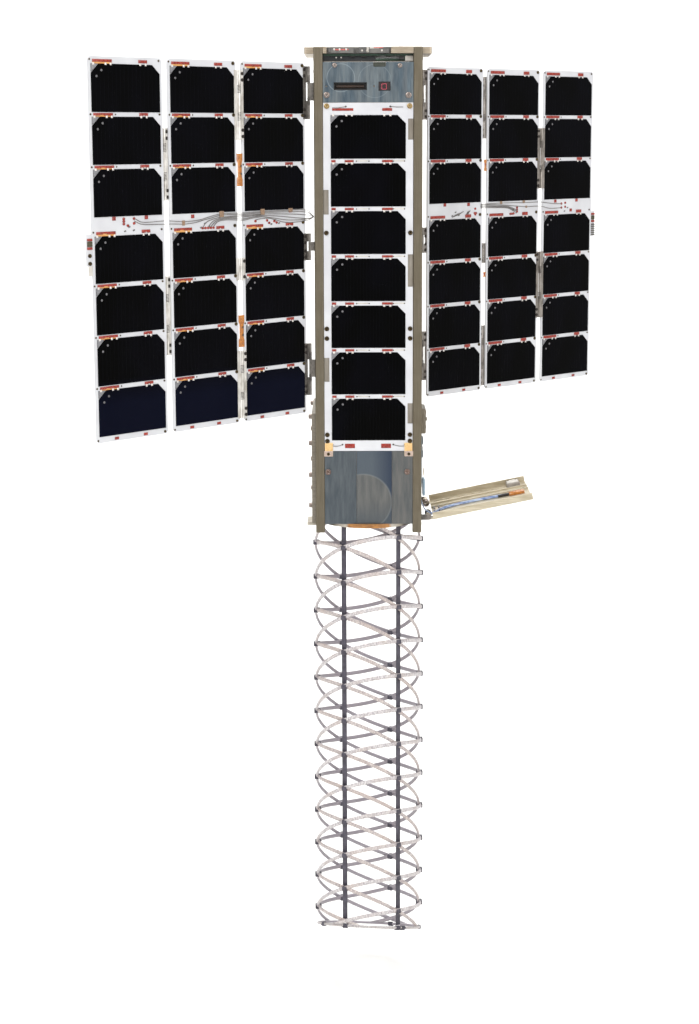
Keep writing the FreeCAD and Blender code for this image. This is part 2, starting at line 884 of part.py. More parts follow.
def lattice_strips():
    """The two dark lengthwise strips inside the front of the lattice."""
    strips = []
    inside = lattice_radius - strand_gap / 2 - strand_size
    reach = inside * math.cos(math.radians(strand_step_deg / 2))
    high_z = strand_top_z - touch_gap
    for column in strip_columns:
        angle = first_column_deg + column * column_deg
        a = math.radians(angle)
        low_z = end_height(reach * math.sin(a), -reach * math.cos(a)) + end_ring_size / 2
        back = -reach + strip_thickness
        strip = box((-strip_width / 2, -reach, low_z), (strip_width / 2, back, high_z))
        strips.append(turn(strip, angle))
    return strips


def end_ring():
    """The slanted ring that closes the strands' lower ends."""
    sections = []
    for n in range(round(360 / end_ring_step_deg)):
        a = math.radians(n * end_ring_step_deg)
        corners = []
        for out, drop in ((1, 0), (1, end_ring_size), (-1, end_ring_size), (-1, 0)):
            r = lattice_radius + out * end_ring_size / 2
            x = r * math.sin(a)
            y = -r * math.cos(a)
            corners.append(Vec(x, y, end_height(x, y) - drop))
        sections.append(corners)
    return faceted_bar(sections, True)


# Tray arm. It is built level along +X from its hinge axis, then raised and moved into place.

def place_tray(shape):
    raised = shape.rotated(Vec(0, 0, 0), Vec(0, -1, 0), tray_raise_deg)
    return raised.translated(tray_axis)


def tray():
    """A shallow coated tray with long side walls, ribs on its floor and two end knuckles."""
    w = tray_width / 2
    floor_z = -tray_base_below_axis
    tip = tray_start + tray_length
    shape = box((tray_start, -w, floor_z), (tip, w, floor_z + tray_wall_height))
    inside = box(
        (tray_start - overrun, -w + tray_wall, floor_z + tray_wall),
        (tip + overrun, w - tray_wall, floor_z + tray_wall_height + overrun),
    )
    shape = shape.cut(inside)
    for share in tray_rib_shares:
        y = tray_width * share
        shape = shape.fuse(box(
            (tray_start, y - tray_rib_width / 2, floor_z + tray_wall - touch_gap),
            (tip, y + tray_rib_width / 2, floor_z + tray_wall + tray_rib_height),
        ))
    for side in (-1, 1):
        outer = side * (w - tray_knuckle_inset)
        inner = side * (w - tray_knuckle_inset - tray_knuckle_length)
        low_y = min(outer, inner)
        barrel = small_rod(tray_knuckle_radius, tray_knuckle_length, (0, low_y, 0), (0, 1, 0))
        arm_end = (tray_start + overrun, low_y + tray_knuckle_length, floor_z + tray_wall)
        arm = box((0, low_y, floor_z), arm_end)
        bore_radius = (tray_pin_radius + pin_clearance) / math.cos(math.pi / round_sides)
        bore = small_rod(bore_radius, tray_knuckle_length, (0, low_y, 0), (0, 1, 0))
        shape = shape.fuse(barrel).fuse(arm).cut(bore)
    return place_tray(shape.removeSplitter())


def tray_latch():
    """The small block near the tray's tip that the release block holds when it is folded."""
    tip = tray_start + tray_length
    low_z = -tray_base_below_axis + tray_wall
    low_x = tip - tray_latch_from_tip - tray_latch_length
    y = tray_width / 2 - tray_wall - touch_gap
    high = (low_x + tray_latch_length, y, low_z + tray_latch_height)
    block = box((low_x, y - tray_latch_width, low_z), high)
    edges = [e for e in block.Edges if e.CenterOfMass.z > low_z + tray_latch_height - touch_gap]
    return place_tray(block.makeChamfer(tray_latch_chamfer, edges))


def tray_cable():
    """The cable clipped along the tray's floor, from its front corner towards the tip's middle."""
    start_y, end_y = (tray_width * share for share in tray_cable_shares)
    z = -tray_base_below_axis + tray_wall + tray_cable_radius
    run = Vec(tray_length - tray_latch_from_tip, end_y - start_y, 0)
    length = run.Length
    return place_tray(small_rod(tray_cable_radius, length, (tray_start, start_y, z), run.normalize()))


def tray_brackets():
    """The two ears on the body's side that carry the tray's hinge pins."""
    ears = []
    w = tray_width / 2
    for side in (-1, 1):
        near = side * (w - tray_knuckle_inset + knuckle_gap)
        far = side * (w - tray_knuckle_inset + knuckle_gap + tray_bracket_thickness)
        low_y = min(near, far)
        plate = box(
            (skin_outer, low_y, tray_axis.z - tray_knuckle_radius),
            (tray_axis.x, low_y + tray_bracket_thickness, tray_axis.z + tray_knuckle_radius),
        )
        boss_start = (tray_axis.x, low_y, tray_axis.z)
        boss = small_rod(tray_knuckle_radius, tray_bracket_thickness, boss_start, (0, 1, 0))
        reach = side * (w - tray_knuckle_inset - tray_knuckle_length)
        start_y = min(reach, far)
        pin_length = abs(far - reach)
        tray_pin = rod(tray_pin_radius, pin_length, (tray_axis.x, start_y, tray_axis.z), (0, 1, 0))
        ears.append(plate.fuse(boss).fuse(tray_pin).removeSplitter())
    return ears


def main():
    os.makedirs("parts", exist_ok=True)
    first_rail = rail()
    corners = (("front_left", 0), ("front_right", 90), ("rear_right", 180), ("rear_left", 270))
    for name, angle in corners:
        export("rail_" + name, turn(first_rail, angle))
    for face in ("front", "right", "rear", "left"):
        export("skin_" + face, skin(face))
    export("top_plate", top_plate())
    export("top_edge_connectors", top_edge_connectors())
    export("top_board", top_board())
    export("service_plate", service_plate())
    export("service_connector", service_connector())
    export("status_display", status_display())
    export("rear_upper_plate", rear_upper_plate())
    for face, angle in (("front", 0), ("rear", 180)):
        export(face + "_solar_board", turn(body_board(), angle))
        export(face + "_solar_cells", [turn(s, angle) for s in body_cells()])
        export(face + "_lower_plates", [turn(s, angle) for s in lower_plates()])
    export("board_clips", board_clips())
    export("bottom_deck", bottom_deck())
    export("antenna_disc", antenna_disc())
    export("left_side_plate", left_side_plate())
    export("release_block", release_block())
    export("harness_strip", harness_strip())
    export("avionics_stack", avionics_stack())
    for side in ("left", "right"):
        wing = wing_side(side)
        export(side + "_root_brackets", root_brackets(wing))
        for index, panel in enumerate(("inner", "middle", "outer")):
            name = side + "_" + panel
            export(name + "_board", wing_board(wing, index))
            export(name + "_cells", wing_cells(wing, index))
            export(name + "_hinges", wing_leaves(wing, index))
    export("strands_right_hand", strands(1))
    export("strands_left_hand", strands(-1))
    export("lattice_joints", lattice_joints())
    export("lattice_strips", lattice_strips())
    export("lattice_end_ring", end_ring())
    export("tray", tray())
    export("tray_latch", tray_latch())
    export("tray_cable", tray_cable())
    export("tray_brackets", tray_brackets())


main()
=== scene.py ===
import math

import bpy
from mathutils import Matrix, Vector


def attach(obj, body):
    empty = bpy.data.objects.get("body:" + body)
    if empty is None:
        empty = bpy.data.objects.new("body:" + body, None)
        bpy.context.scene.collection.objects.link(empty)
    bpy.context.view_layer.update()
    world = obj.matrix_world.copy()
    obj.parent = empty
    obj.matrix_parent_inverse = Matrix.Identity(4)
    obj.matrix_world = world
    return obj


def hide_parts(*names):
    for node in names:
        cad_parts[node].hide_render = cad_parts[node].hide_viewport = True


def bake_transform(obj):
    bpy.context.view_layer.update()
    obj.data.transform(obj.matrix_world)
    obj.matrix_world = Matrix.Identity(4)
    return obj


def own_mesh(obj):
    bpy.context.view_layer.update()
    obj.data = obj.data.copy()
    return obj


# The visual model of a four-unit satellite with open solar wings and a lattice antenna.
# Sizes below are millimetres unless a name says otherwise; Blender works in metres.

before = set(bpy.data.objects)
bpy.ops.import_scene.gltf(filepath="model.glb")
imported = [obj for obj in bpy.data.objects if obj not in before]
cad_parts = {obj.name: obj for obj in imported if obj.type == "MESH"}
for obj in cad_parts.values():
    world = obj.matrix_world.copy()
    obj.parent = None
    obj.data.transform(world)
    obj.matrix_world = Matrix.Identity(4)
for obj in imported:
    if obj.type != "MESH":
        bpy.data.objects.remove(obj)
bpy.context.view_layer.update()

MM = 0.001


# Camera, light and floor

def add_camera():
    """The photograph's viewpoint: level with the upper body, looking a little down."""
    bpy.ops.object.camera_add(
        location=(-0.016452, -1.592355, 0.147959),
        rotation=[math.radians(a) for a in (82.000009, 0.171498, 0.020330)],
    )
    camera = bpy.context.object
    camera.data.lens = 58.469
    camera.data.shift_x = -0.0002
    camera.data.shift_y = -0.1408
    bpy.context.scene.camera = camera


def add_lamp(name, place, aim, size, watts):
    bpy.ops.object.light_add(type='AREA', location=place)
    lamp = bpy.context.object
    lamp.name = name
    lamp.data.shape = 'SQUARE'
    lamp.data.size = size
    lamp.data.energy = watts
    way = Vector(aim) - Vector(place)
    lamp.rotation_euler = way.to_track_quat('-Z', 'Y').to_euler()


# Materials

def linear(hex_colour):
    """An sRGB hex colour as the linear colour that the shaders take."""
    channels = [int(hex_colour[i:i + 2], 16) / 255 for i in (1, 3, 5)]
    return [c / 12.92 if c <= 0.04045 else ((c + 0.055) / 1.055) ** 2.4 for c in channels] + [1.0]


def node(tree, kind, inputs=None, **settings):
    """Adds a node with its settings; an input is either another node's output or a value."""
    made = tree.nodes.new("ShaderNode" + kind)
    for name, value in settings.items():
        setattr(made, name, value)
    for name, value in (inputs or {}).items():
        if isinstance(value, bpy.types.NodeSocket):
            tree.links.new(value, made.inputs[name])
        else:
            made.inputs[name].default_value = value
    return made


def start(name):
    material = bpy.data.materials.new(name)
    material.use_nodes = True
    tree = material.node_tree
    tree.nodes.clear()
    place = node(tree, "TexCoord").outputs["Object"]
    return material, tree, place


def grain(tree, place, size_mm, detail=3.0):
    """Uneven grain with the given size in millimetres along each axis."""
    scaled = node(tree, "Mapping", {"Vector": place, "Scale": [1 / (MM * s) for s in size_mm]})
    pattern = {"Vector": scaled.outputs[0], "Scale": 1.0, "Detail": detail, "Roughness": 0.6}
    return node(tree, "TexNoise", pattern).outputs[0]


def spread(tree, value, low, high, out_low=0.0, out_high=1.0):
    limits = {"Value": value, "From Min": low, "From Max": high, "To Min": out_low, "To Max": out_high}
    return node(tree, "MapRange", limits).outputs[0]


def blend_colours(tree, share, low, high):
    """A colour that goes from low to high as share goes from nothing to one; each is a hex value or an output."""
    low, high = (linear(tone) if isinstance(tone, str) else tone for tone in (low, high))
    return node(tree, "Mix", {0: share, 6: low, 7: high}, data_type='RGBA').outputs[2]


def finish(material, tree, inputs):
    shader = node(tree, "BsdfPrincipled", inputs)
    node(tree, "OutputMaterial", {"Surface": shader.outputs["BSDF"]})
    return material


def metal(name, face, shade, rough, grain_mm, relief=0.3, worn=None, blotch_mm=16.0, metallic=1.0, edge_mm=0.4):
    """A metal with fine grain, slow blotches, eased corners and, where given, a paler edge colour that is partly edge
    wear and partly painted highlight.
    """
    material, tree, place = start(name)
    fine = grain(tree, place, grain_mm)
    slow = grain(tree, place, (blotch_mm, blotch_mm, blotch_mm), 2.0)
    colour = blend_colours(tree, spread(tree, fine, 0.3, 0.7), shade, face)
    colour = blend_colours(tree, spread(tree, slow, 0.42, 0.75, 0.0, 0.55), colour, shade)
    eased = node(tree, "Bevel", {"Radius": edge_mm * MM}, samples=4).outputs[0]
    # The paler edge colour is partly wear and partly a painted highlight along the edges.
    if worn:
        flat = node(tree, "NewGeometry").outputs["Normal"]
        turned = node(tree, "VectorMath", {0: eased, 1: flat}, operation='DOT_PRODUCT').outputs["Value"]
        colour = blend_colours(tree, spread(tree, turned, 0.985, 0.9, 0.0, 0.75), colour, worn)
    bump = node(tree, "Bump", {"Height": fine, "Distance": 0.05 * MM, "Strength": relief, "Normal": eased})
    return finish(material, tree, {
        "Base Color": colour, "Metallic": metallic, "Normal": bump.outputs[0],
        "Roughness": spread(tree, fine, 0.25, 0.75, rough - 0.07, rough + 0.09),
    })


def moulded(name, face, shade, rough, grain_mm=0.6, relief=0.15, ior=1.5, blotch_mm=9.0, coat=0.0):
    """A moulded, printed or coated surface: even colour with a fine tooth and slow changes of tone."""
    material, tree, place = start(name)
    fine = grain(tree, place, (grain_mm, grain_mm, grain_mm))
    slow = grain(tree, place, (blotch_mm, blotch_mm, blotch_mm), 2.0)
    colour = blend_colours(tree, spread(tree, slow, 0.35, 0.7), face, shade)
    bump = node(tree, "Bump", {"Height": fine, "Distance": 0.04 * MM, "Strength": relief})
    return finish(material, tree, {
        "Base Color": colour, "IOR": ior, "Coat Weight": coat, "Normal": bump.outputs[0],
        "Roughness": spread(tree, fine, 0.3, 0.7, rough - 0.05, rough + 0.08),
    })


def ring_mark(tree, place, centre, radius, width):
    """The share of a faint round cutter mark, drawn on a face that looks along Y."""
    flat = node(tree, "VectorMath", {0: place, 1: (1, 0, 1)}, operation='MULTIPLY').outputs[0]
    middle = (centre[0] * MM, 0, centre[1] * MM)
    reach = node(tree, "VectorMath", {0: flat, 1: middle}, operation='DISTANCE').outputs["Value"]
    beside = node(tree, "Math", {0: reach, 1: radius * MM}, operation='SUBTRACT').outputs[0]
    away = node(tree, "Math", {0: beside}, operation='ABSOLUTE').outputs[0]
    return spread(tree, away, width * MM, 0.0), reach


def milled_finish(material, tree, colour, fine, metallic, rough):
    """Closes a milled material: eased corners, a fine relief and a satin sheen."""
    eased = node(tree, "Bevel", {"Radius": 0.3 * MM}, samples=4).outputs[0]
    bump = node(tree, "Bump", {"Height": fine, "Distance": 0.03 * MM, "Strength": 0.25, "Normal": eased})
    return finish(material, tree, {
        "Base Color": colour, "Metallic": metallic, "Normal": bump.outputs[0],
        "Roughness": spread(tree, fine, 0.3, 0.7, rough - 0.05, rough + 0.1),
    })


def milled_plate(name, base, bands, rings, arcs_colour, rough):
    """A milled aluminium blank: upright bands of reflected tone and the round marks of the cutter."""
    material, tree, place = start(name)
    colour = base
    for shade, width_mm, seed_mm in bands:
        moved = node(tree, "Mapping", {"Vector": place, "Location": (seed_mm * MM, 0, 0)}).outputs[0]
        band = grain(tree, moved, (width_mm, 60.0, 55.0), 2.0)
        colour = blend_colours(tree, spread(tree, band, 0.45, 0.68, 0.0, 0.8), colour, shade)
    fine = grain(tree, place, (0.5, 4.0, 9.0))
    colour = blend_colours(tree, spread(tree, fine, 0.3, 0.8, 0.0, 0.25), colour, arcs_colour)
    for centre, radius, width, strength in rings:
        mark, _ = ring_mark(tree, place, centre, radius, width)
        share = spread(tree, mark, 0.0, 1.0, 0.0, strength)
        colour = blend_colours(tree, share, colour, arcs_colour)
    return milled_finish(material, tree, colour, fine, 0.85, rough)


def lower_blanks():
    """Three milled blanks: slate on the left, a cutter's round patch in the middle, greyer on the right."""
    material, tree, place = start("milled_aluminium_lower_blanks")
    across = node(tree, "SeparateXYZ", {0: place})
    x, z = across.outputs["X"], across.outputs["Z"]
    streaks = grain(tree, place, (3.5, 60.0, 26.0))
    slate = blend_colours(tree, spread(tree, streaks, 0.35, 0.7), "#4b5258", "#5f6569")
    _, reach = ring_mark(tree, place, (-5.2, -197.4), 26.8, 1.0)
    patch = blend_colours(tree, spread(tree, streaks, 0.3, 0.7), "#5a5c5d", "#6d6d6b")
    navy = spread(tree, x, 3.0 * MM, 20.0 * MM)
    upper = blend_colours(tree, navy, "#565e66", "#3a4352")
    middle = blend_colours(tree, spread(tree, reach, 27.1 * MM, 26.3 * MM), upper, patch)
    low = spread(tree, z, -196.0 * MM, -214.0 * MM, 0.0, 0.7)
    middle = blend_colours(tree, low, middle, "#51575c")
    right = blend_colours(tree, spread(tree, streaks, 0.35, 0.7), "#595c5d", "#6c6b69")
    colour = blend_colours(tree, spread(tree, x, -11.31 * MM, -11.29 * MM), slate, middle)
    colour = blend_colours(tree, spread(tree, x, 21.99 * MM, 22.01 * MM), colour, right)
    mark, _ = ring_mark(tree, place, (-5.2, -197.4), 26.8, 1.1)
    inside = spread(tree, x, -11.3 * MM, -11.2 * MM)
    share = node(tree, "Math", {0: mark, 1: inside}, operation='MULTIPLY').outputs[0]
    colour = blend_colours(tree, spread(tree, share, 0.0, 1.0, 0.0, 0.35), colour, "#8b8f8d")
    fine = grain(tree, place, (0.6, 4.0, 5.0))
    return milled_finish(material, tree, colour, fine, 0.8, 0.45)


def cell_glass():
    """Coated cover glass over a dark cell: almost black, with fine fingers and a painted navy reflection on the low
    cells at the left.
    """
    material, tree, place = start("coated_cover_glass_on_solar_cell")
    # The real fingers are about 1 mm apart, too fine to show, so they are drawn 3 mm apart.
    fingers = node(tree, "TexWave", {
        "Vector": place, "Scale": 2 * math.pi / (20 * 3.0 * MM), "Distortion": 0.0,
    }, wave_type='BANDS', bands_direction='X').outputs["Fac"]
    tone = grain(tree, place, (34.0, 34.0, 60.0), 1.5)
    where = node(tree, "SeparateXYZ", {0: place})
    colour = blend_colours(tree, spread(tree, tone, 0.35, 0.7), "#020202", "#040408")
    colour = blend_colours(tree, spread(tree, fingers, 0.93, 1.0, 0.0, 0.3), colour, "#0d0e13")
    # Painted reflection: the lowest cells on the left get a navy tint, chosen by height and side.
    low = spread(tree, where.outputs["Z"], -58.0 * MM, -80.0 * MM, 0.0, 0.8)
    left = spread(tree, where.outputs["X"], -50.0 * MM, -60.0 * MM)
    low = node(tree, "Math", {0: low, 1: left}, operation='MULTIPLY').outputs[0]
    colour = blend_colours(tree, low, colour, "#080b1c")
    return finish(material, tree, {
        "Base Color": colour, "IOR": 1.12, "Roughness": spread(tree, tone, 0.3, 0.7, 0.16, 0.26),
    })


def woven_strand(name, face, shade):
    """Braided glass-fibre rod: pale fibres that wind round it, with painted shade in the hollows between them and on
    the strands at the back.
    """
    material, tree, place = start(name)
    fibres = grain(tree, place, (1.0, 1.0, 2.2), 4.0)
    slow = grain(tree, place, (22.0, 22.0, 14.0), 1.5)
    # Painted shade: the hollows of the fibre relief take the darker colour.
    colour = blend_colours(tree, spread(tree, fibres, 0.35, 0.65), shade, face)
    colour = blend_colours(tree, spread(tree, slow, 0.45, 0.7, 0.0, 0.4), colour, "#b49f94")
    # Painted shade: strands further back are darker, by their depth.
    depth = node(tree, "SeparateXYZ", {0: place}).outputs["Y"]
    colour = blend_colours(tree, spread(tree, depth, -22.0 * MM, 14.0 * MM, 0.0, 0.85), colour, "#8d8790")
    bump = node(tree, "Bump", {"Height": fibres, "Distance": 0.12 * MM, "Strength": 0.35})
    return finish(material, tree, {
        "Base Color": colour, "Normal": bump.outputs[0], "Roughness": spread(tree, fibres, 0.3, 0.7, 0.36, 0.52),
    })


def lit_segment():
    """Lit indicator segment: pink-red and a little brighter than the room."""
    material, tree, place = start("lit_indicator_segment")
    glow = grain(tree, place, (0.8, 0.8, 0.8))
    colour = blend_colours(tree, spread(tree, glow, 0.3, 0.7), "#d8455c", "#f0788c")
    return finish(material, tree, {
        "Base Color": colour, "Emission Color": colour, "Emission Strength": 0.35, "Roughness": 0.35,
    })


def twisted_jacket():
    """Bundle of thin insulated leads: blue, white and violet jackets that take turns along it."""
    material, tree, place = start("insulated_leads_blue_and_white")
    along = node(tree, "SeparateXYZ", {0: place}).outputs["X"]
    lay = grain(tree, place, (9.0, 1.6, 2.0), 2.0)
    colour = blend_colours(tree, spread(tree, lay, 0.42, 0.58), "#6a86bd", "#c3d2e8")
    violet = grain(tree, place, (14.0, 2.4, 2.4), 1.0)
    colour = blend_colours(tree, spread(tree, violet, 0.55, 0.66, 0.0, 0.8), colour, "#7c77a8")
    colour = blend_colours(tree, spread(tree, along, 78.0 * MM, 62.0 * MM, 0.0, 0.35), colour, "#6a7690")
    return finish(material, tree, {"Base Color": colour, "Roughness": 0.42})


def disc_film():
    """Film on the antenna's disc: amber in front, silvery beside it, and darkened further round by painted shade."""
    material, tree, place = start("amber_film_on_disc")
    across = node(tree, "SeparateXYZ", {0: place}).outputs["X"]
    slow = grain(tree, place, (7.0, 7.0, 2.0), 2.0)
    amber = blend_colours(tree, spread(tree, slow, 0.35, 0.7), "#a9722f", "#7d4d1c")
    side = node(tree, "Math", {0: across}, operation='ABSOLUTE').outputs[0]
    colour = blend_colours(tree, spread(tree, side, 19.0 * MM, 22.0 * MM), amber, "#b9b0a3")
    # Painted shade: the film turns dark further round the disc.
    colour = blend_colours(tree, spread(tree, side, 30.0 * MM, 34.0 * MM), colour, "#4c453b")
    return finish(material, tree, {"Base Color": colour, "IOR": 1.55, "Coat Weight": 0.3, "Roughness": 0.28})


def hinge_finish():
    """Machined hinges: silvery leaves on the left wing, grey-brown on the right, darker at both roots."""
    material, tree, place = start("machined_hinge_metal")
    across = node(tree, "SeparateXYZ", {0: place}).outputs["X"]
    fine = grain(tree, place, (0.5, 0.5, 3.0))
    slow = grain(tree, place, (5.0, 5.0, 11.0), 2.0)
    silver = blend_colours(tree, spread(tree, slow, 0.4, 0.7), "#d9d6d0", "#aaa49b")
    brown = blend_colours(tree, spread(tree, slow, 0.35, 0.65), "#928b84", "#5a524b")
    dark = blend_colours(tree, spread(tree, slow, 0.35, 0.65), "#5e5851", "#3a3530")
    colour = blend_colours(tree, spread(tree, across, -63.0 * MM, -61.0 * MM), silver, dark)
    colour = blend_colours(tree, spread(tree, across, 54.0 * MM, 56.0 * MM), colour, brown)
    colour = blend_colours(tree, spread(tree, fine, 0.3, 0.75, 0.0, 0.25), colour, "#e2ddd6")
    eased = node(tree, "Bevel", {"Radius": 0.3 * MM}, samples=4).outputs[0]
    bump = node(tree, "Bump", {"Height": fine, "Distance": 0.04 * MM, "Strength": 0.3, "Normal": eased})
    return finish(material, tree, {
        "Base Color": colour, "Metallic": 0.6, "Normal": bump.outputs[0],
        "Roughness": spread(tree, fine, 0.25, 0.75, 0.3, 0.45),
    })


def paper(name, colour):
    """Seamless studio paper: pale and matt, with a faint tooth."""
    material, tree, place = start(name)
    tooth = grain(tree, place, (3.0, 3.0, 3.0))
    shade = blend_colours(tree, spread(tree, tooth, 0.2, 0.8, 0.0, 0.12), colour, "#dcdbd9")
    return finish(material, tree, {"Base Color": shade, "Roughness": 0.9, "Specular IOR Level": 0.1})


# Hard anodised aluminium: olive-brown and satin, drawn along the rail, paler at the edges, partly from wear and partly
# as a painted highlight.
anodised = metal(
    "hard_anodised_aluminium", "#776f60", "#61594a", 0.46, (0.5, 0.5, 34.0), 0.35, "#9a927f", 16.0, 0.8,
)
# Clear-finished aluminium sheet: pale warm grey with a rolled grain.
bare_sheet = metal("rolled_aluminium_sheet", "#a09a90", "#857d73", 0.4, (0.8, 0.8, 18.0), 0.25)
# Chemically filmed aluminium: milled, with a faint champagne tint and brighter edges.
filmed = metal("chemical_film_aluminium", "#b8ac9a", "#9a8e7c", 0.38, (7.0, 0.7, 0.7), 0.3, "#d2c9b9")
# The end plate's milled aluminium: the same film, more matt.
top_milled = metal("milled_aluminium_end_plate", "#b7ab99", "#988b79", 0.42, (9.0, 1.0, 1.0), 0.3, "#cfc5b5")
# Milled aluminium blank: blue-grey reflections in upright bands, with cutter arcs.
service_blank = milled_plate(
    "milled_aluminium_service_blank", "#48555e",
    (("#697780", 13.0, 0.0), ("#5d6164", 8.0, 31.0), ("#344451", 15.0, 77.0), ("#71787a", 7.0, 140.0)),
    (((-25.0, 199.0), 12.6, 0.6, 0.5), ((6.0, 196.0), 15.0, 0.5, 0.3)),
    "#9aa6ac", 0.4,
)
# Milled aluminium blanks below the front board.
front_blanks = lower_blanks()
# The rear blanks: the same milling without the patch.
rear_blanks = milled_plate(
    "milled_aluminium_rear_blanks", "#59626a", (("#6c757c", 9.0, 12.0), ("#4a535c", 8.0, 60.0)),
    (((10.0, -190.0), 24.0, 0.4, 0.4),), "#8b9498", 0.44,
)
# Glass-laminate circuit board with white solder mask: even, slightly glossy white.
white_mask = moulded("white_solder_mask", "#d4d5d8", "#c9c9cd", 0.34, 1.2, 0.12, 1.5, 26.0)
# Green solder mask.
green_mask = moulded("green_solder_mask", "#2f4c3b", "#1e3626", 0.32, 0.9, 0.15)
# Solar cell under anti-reflective cover glass.
solar_glass = cell_glass()
# Plated bypass diode: dull grey metal with a soft mottle.
diode_plate = metal("plated_bypass_diode", "#9c9c9e", "#747478", 0.42, (0.5, 0.5, 0.5), 0.3, None, 3.0)
# Black liquid-crystal polymer of the connectors.
black_polymer = moulded("black_connector_polymer", "#23211f", "#161514", 0.42, 0.5, 0.3)
# Tinted indicator window: near-black red.
indicator_window = moulded("tinted_indicator_window", "#2a0a0d", "#160507", 0.15, 0.8, 0.05, 1.5, 4.0, 0.5)
segment_glow = lit_segment()
# Gold-plated spring clip: soft yellow with pinkish wear.
gold_plate = metal(
    "gold_plated_clip", "#f6d79a", "#dcae74", 0.32, (0.7, 0.7, 0.7), 0.25, "#fbe9c4", 4.0, 0.45,
)
# Stainless screw with a light satin head.
steel_screw = metal("satin_stainless_screw", "#a2968f", "#6d625c", 0.3, (0.4, 0.4, 0.4), 0.2, "#d8d0cb", 3.0)
# Contacts deep in the socket: dull red-brown, a bronze tone darkened with painted shade.
bronze = metal("bronze_socket_contacts", "#6b4f3a", "#3f2d22", 0.45, (0.4, 0.4, 0.4), 0.2, None, 2.0, 0.6)
# Black-oxide screw: nearly black, with a painted brassy highlight on its edges.
black_screw = metal("black_oxide_screw", "#4a4136", "#1d1a17", 0.36, (0.35, 0.35, 0.35), 0.3, "#8d7440", 1.6)
# Dark screw of the hinges: no glint left on it.
dark_screw = metal("dark_hinge_screw", "#4b4440", "#26221f", 0.4, (0.35, 0.35, 0.35), 0.3, None, 1.6, 0.7)
# Low screws of the body: dark and pinkish, with a painted bright highlight on the rim.
pinkish_screw = metal("bronzed_machine_screw", "#8d7468", "#4c3c37", 0.34, (0.5, 0.5, 0.5), 0.3, "#d9cbc4", 2.2, 0.8)
# The clip's foot, where the gold has rubbed through to a pinkish grey.
clip_foot = metal("worn_clip_foot", "#d3bfae", "#a48f86", 0.36, (0.7, 0.7, 0.7), 0.25, "#eadccf", 3.0, 0.6)
# Dull weld spots under the cell's cover.
weld_spot = metal("dull_weld_spot", "#7d7b7d", "#5a595c", 0.5, (0.4, 0.4, 0.4), 0.2, None, 2.0, 0.3)
# Brass-coloured passivated screw.
brass_screw = metal("yellow_passivated_screw", "#b49a68", "#7f6a49", 0.32, (0.4, 0.4, 0.4), 0.25, "#dccba0", 2.0)
# Red-brown staking compound: laid on wet, so it is rounded and glossy.
red_staking = moulded("red_staking_compound", "#9c2c1b", "#751c10", 0.26, 1.4, 0.5, 1.5, 2.6, 0.3)
# Amber strips and rings at the left wing's beads: painted glints, put on the left wing only.
amber_glint = moulded("painted_amber_glint", "#e0a860", "#c9823c", 0.22, 1.5, 0.2, 1.55, 5.0, 0.3)
# Amber polyimide flex and tape.
amber_flex = moulded("amber_polyimide_flex", "#c37a24", "#95551a", 0.24, 0.9, 0.3, 1.6, 2.4, 0.4)
# Amber film on the antenna's disc.
amber_disc = disc_film()
# Silver interconnect tabs, welded and slightly rippled.
silver_tab = metal("silver_interconnect_tab", "#eeebe6", "#cfc9c2", 0.34, (0.4, 0.4, 0.4), 0.3, None, 2.0, 0.75)
# Grey fluoropolymer wire jacket: smooth, slightly waxy.
grey_jacket = moulded("grey_wire_jacket", "#7b7672", "#5a5551", 0.36, 0.7, 0.1, 1.38, 3.0)
# Lacing tape over the wires.
lacing = moulded("lacing_tape", "#9a7f66", "#7d634d", 0.6, 0.35, 0.6, 1.5, 1.5)
# Anodised plate on the left side: mid grey-brown.
side_dark = metal(
    "dark_anodised_side_plate", "#8d867b", "#6f685d", 0.45, (6.0, 6.0, 0.8), 0.3, "#aaa397", 16.0, 0.6,
)
# Machined release housing.
release_cast = metal("machined_release_housing", "#8f8779", "#6f675a", 0.42, (0.9, 0.9, 6.0), 0.3, "#b8b0a2")
# Flat cable in a pale blue jacket.
blue_flat = moulded("pale_blue_flat_cable", "#a9bfcf", "#8ea8bb", 0.4, 0.8, 0.2, 1.45, 5.0)
# Yellow polyimide tape.
yellow_tape = moulded("yellow_tape", "#d8b62c", "#b8921c", 0.35, 0.8, 0.2)
# Dark electronics behind the skins.
dark_stack = moulded("dark_electronics_stack", "#2c2e31", "#1c1e20", 0.5, 1.5, 0.4)
# Hinge metal with fine turning marks.
hinge_steel = hinge_finish()
# Spring wire: dark blued steel.
spring_wire = metal("blued_spring_wire", "#5d5a58", "#3a3837", 0.3, (0.4, 0.4, 0.4), 0.2, None, 3.0)
# Braided composite rods of the antenna, whiter on the outside strands.
white_rod = woven_strand("braided_white_composite_rod", "#dedad9", "#989095")
beige_rod = woven_strand("braided_beige_composite_rod", "#d6cdc7", "#91868a")
# Charcoal composite of the lattice's clamps and strips: matt, with a violet cast.
charcoal = moulded("charcoal_composite", "#4b4753", "#34313b", 0.5, 0.9, 0.5, 1.5, 5.0)
# Grey-white composite end ring.
ring_rod = woven_strand("braided_end_ring_composite", "#cfcac6", "#8d868a")
# Champagne-coated tray: milled ribs and long soft reflections.
tray_coat = metal(
    "champagne_coated_tray", "#d2c8b2", "#aea289", 0.36, (26.0, 1.2, 1.2), 0.3, "#e6dec9", 11.0, 0.5,
)
# Grey moulded latch.
latch_grey = moulded("grey_moulded_latch", "#a39c93", "#857e76", 0.5, 0.7, 0.3)
leads = twisted_jacket()
# Folded edge under the slot, in the shade of the end plate.
shaded_lip = metal("shaded_folded_edge", "#6e665b", "#544c42", 0.5, (9.0, 1.0, 1.0), 0.3, None, 16.0, 0.3)
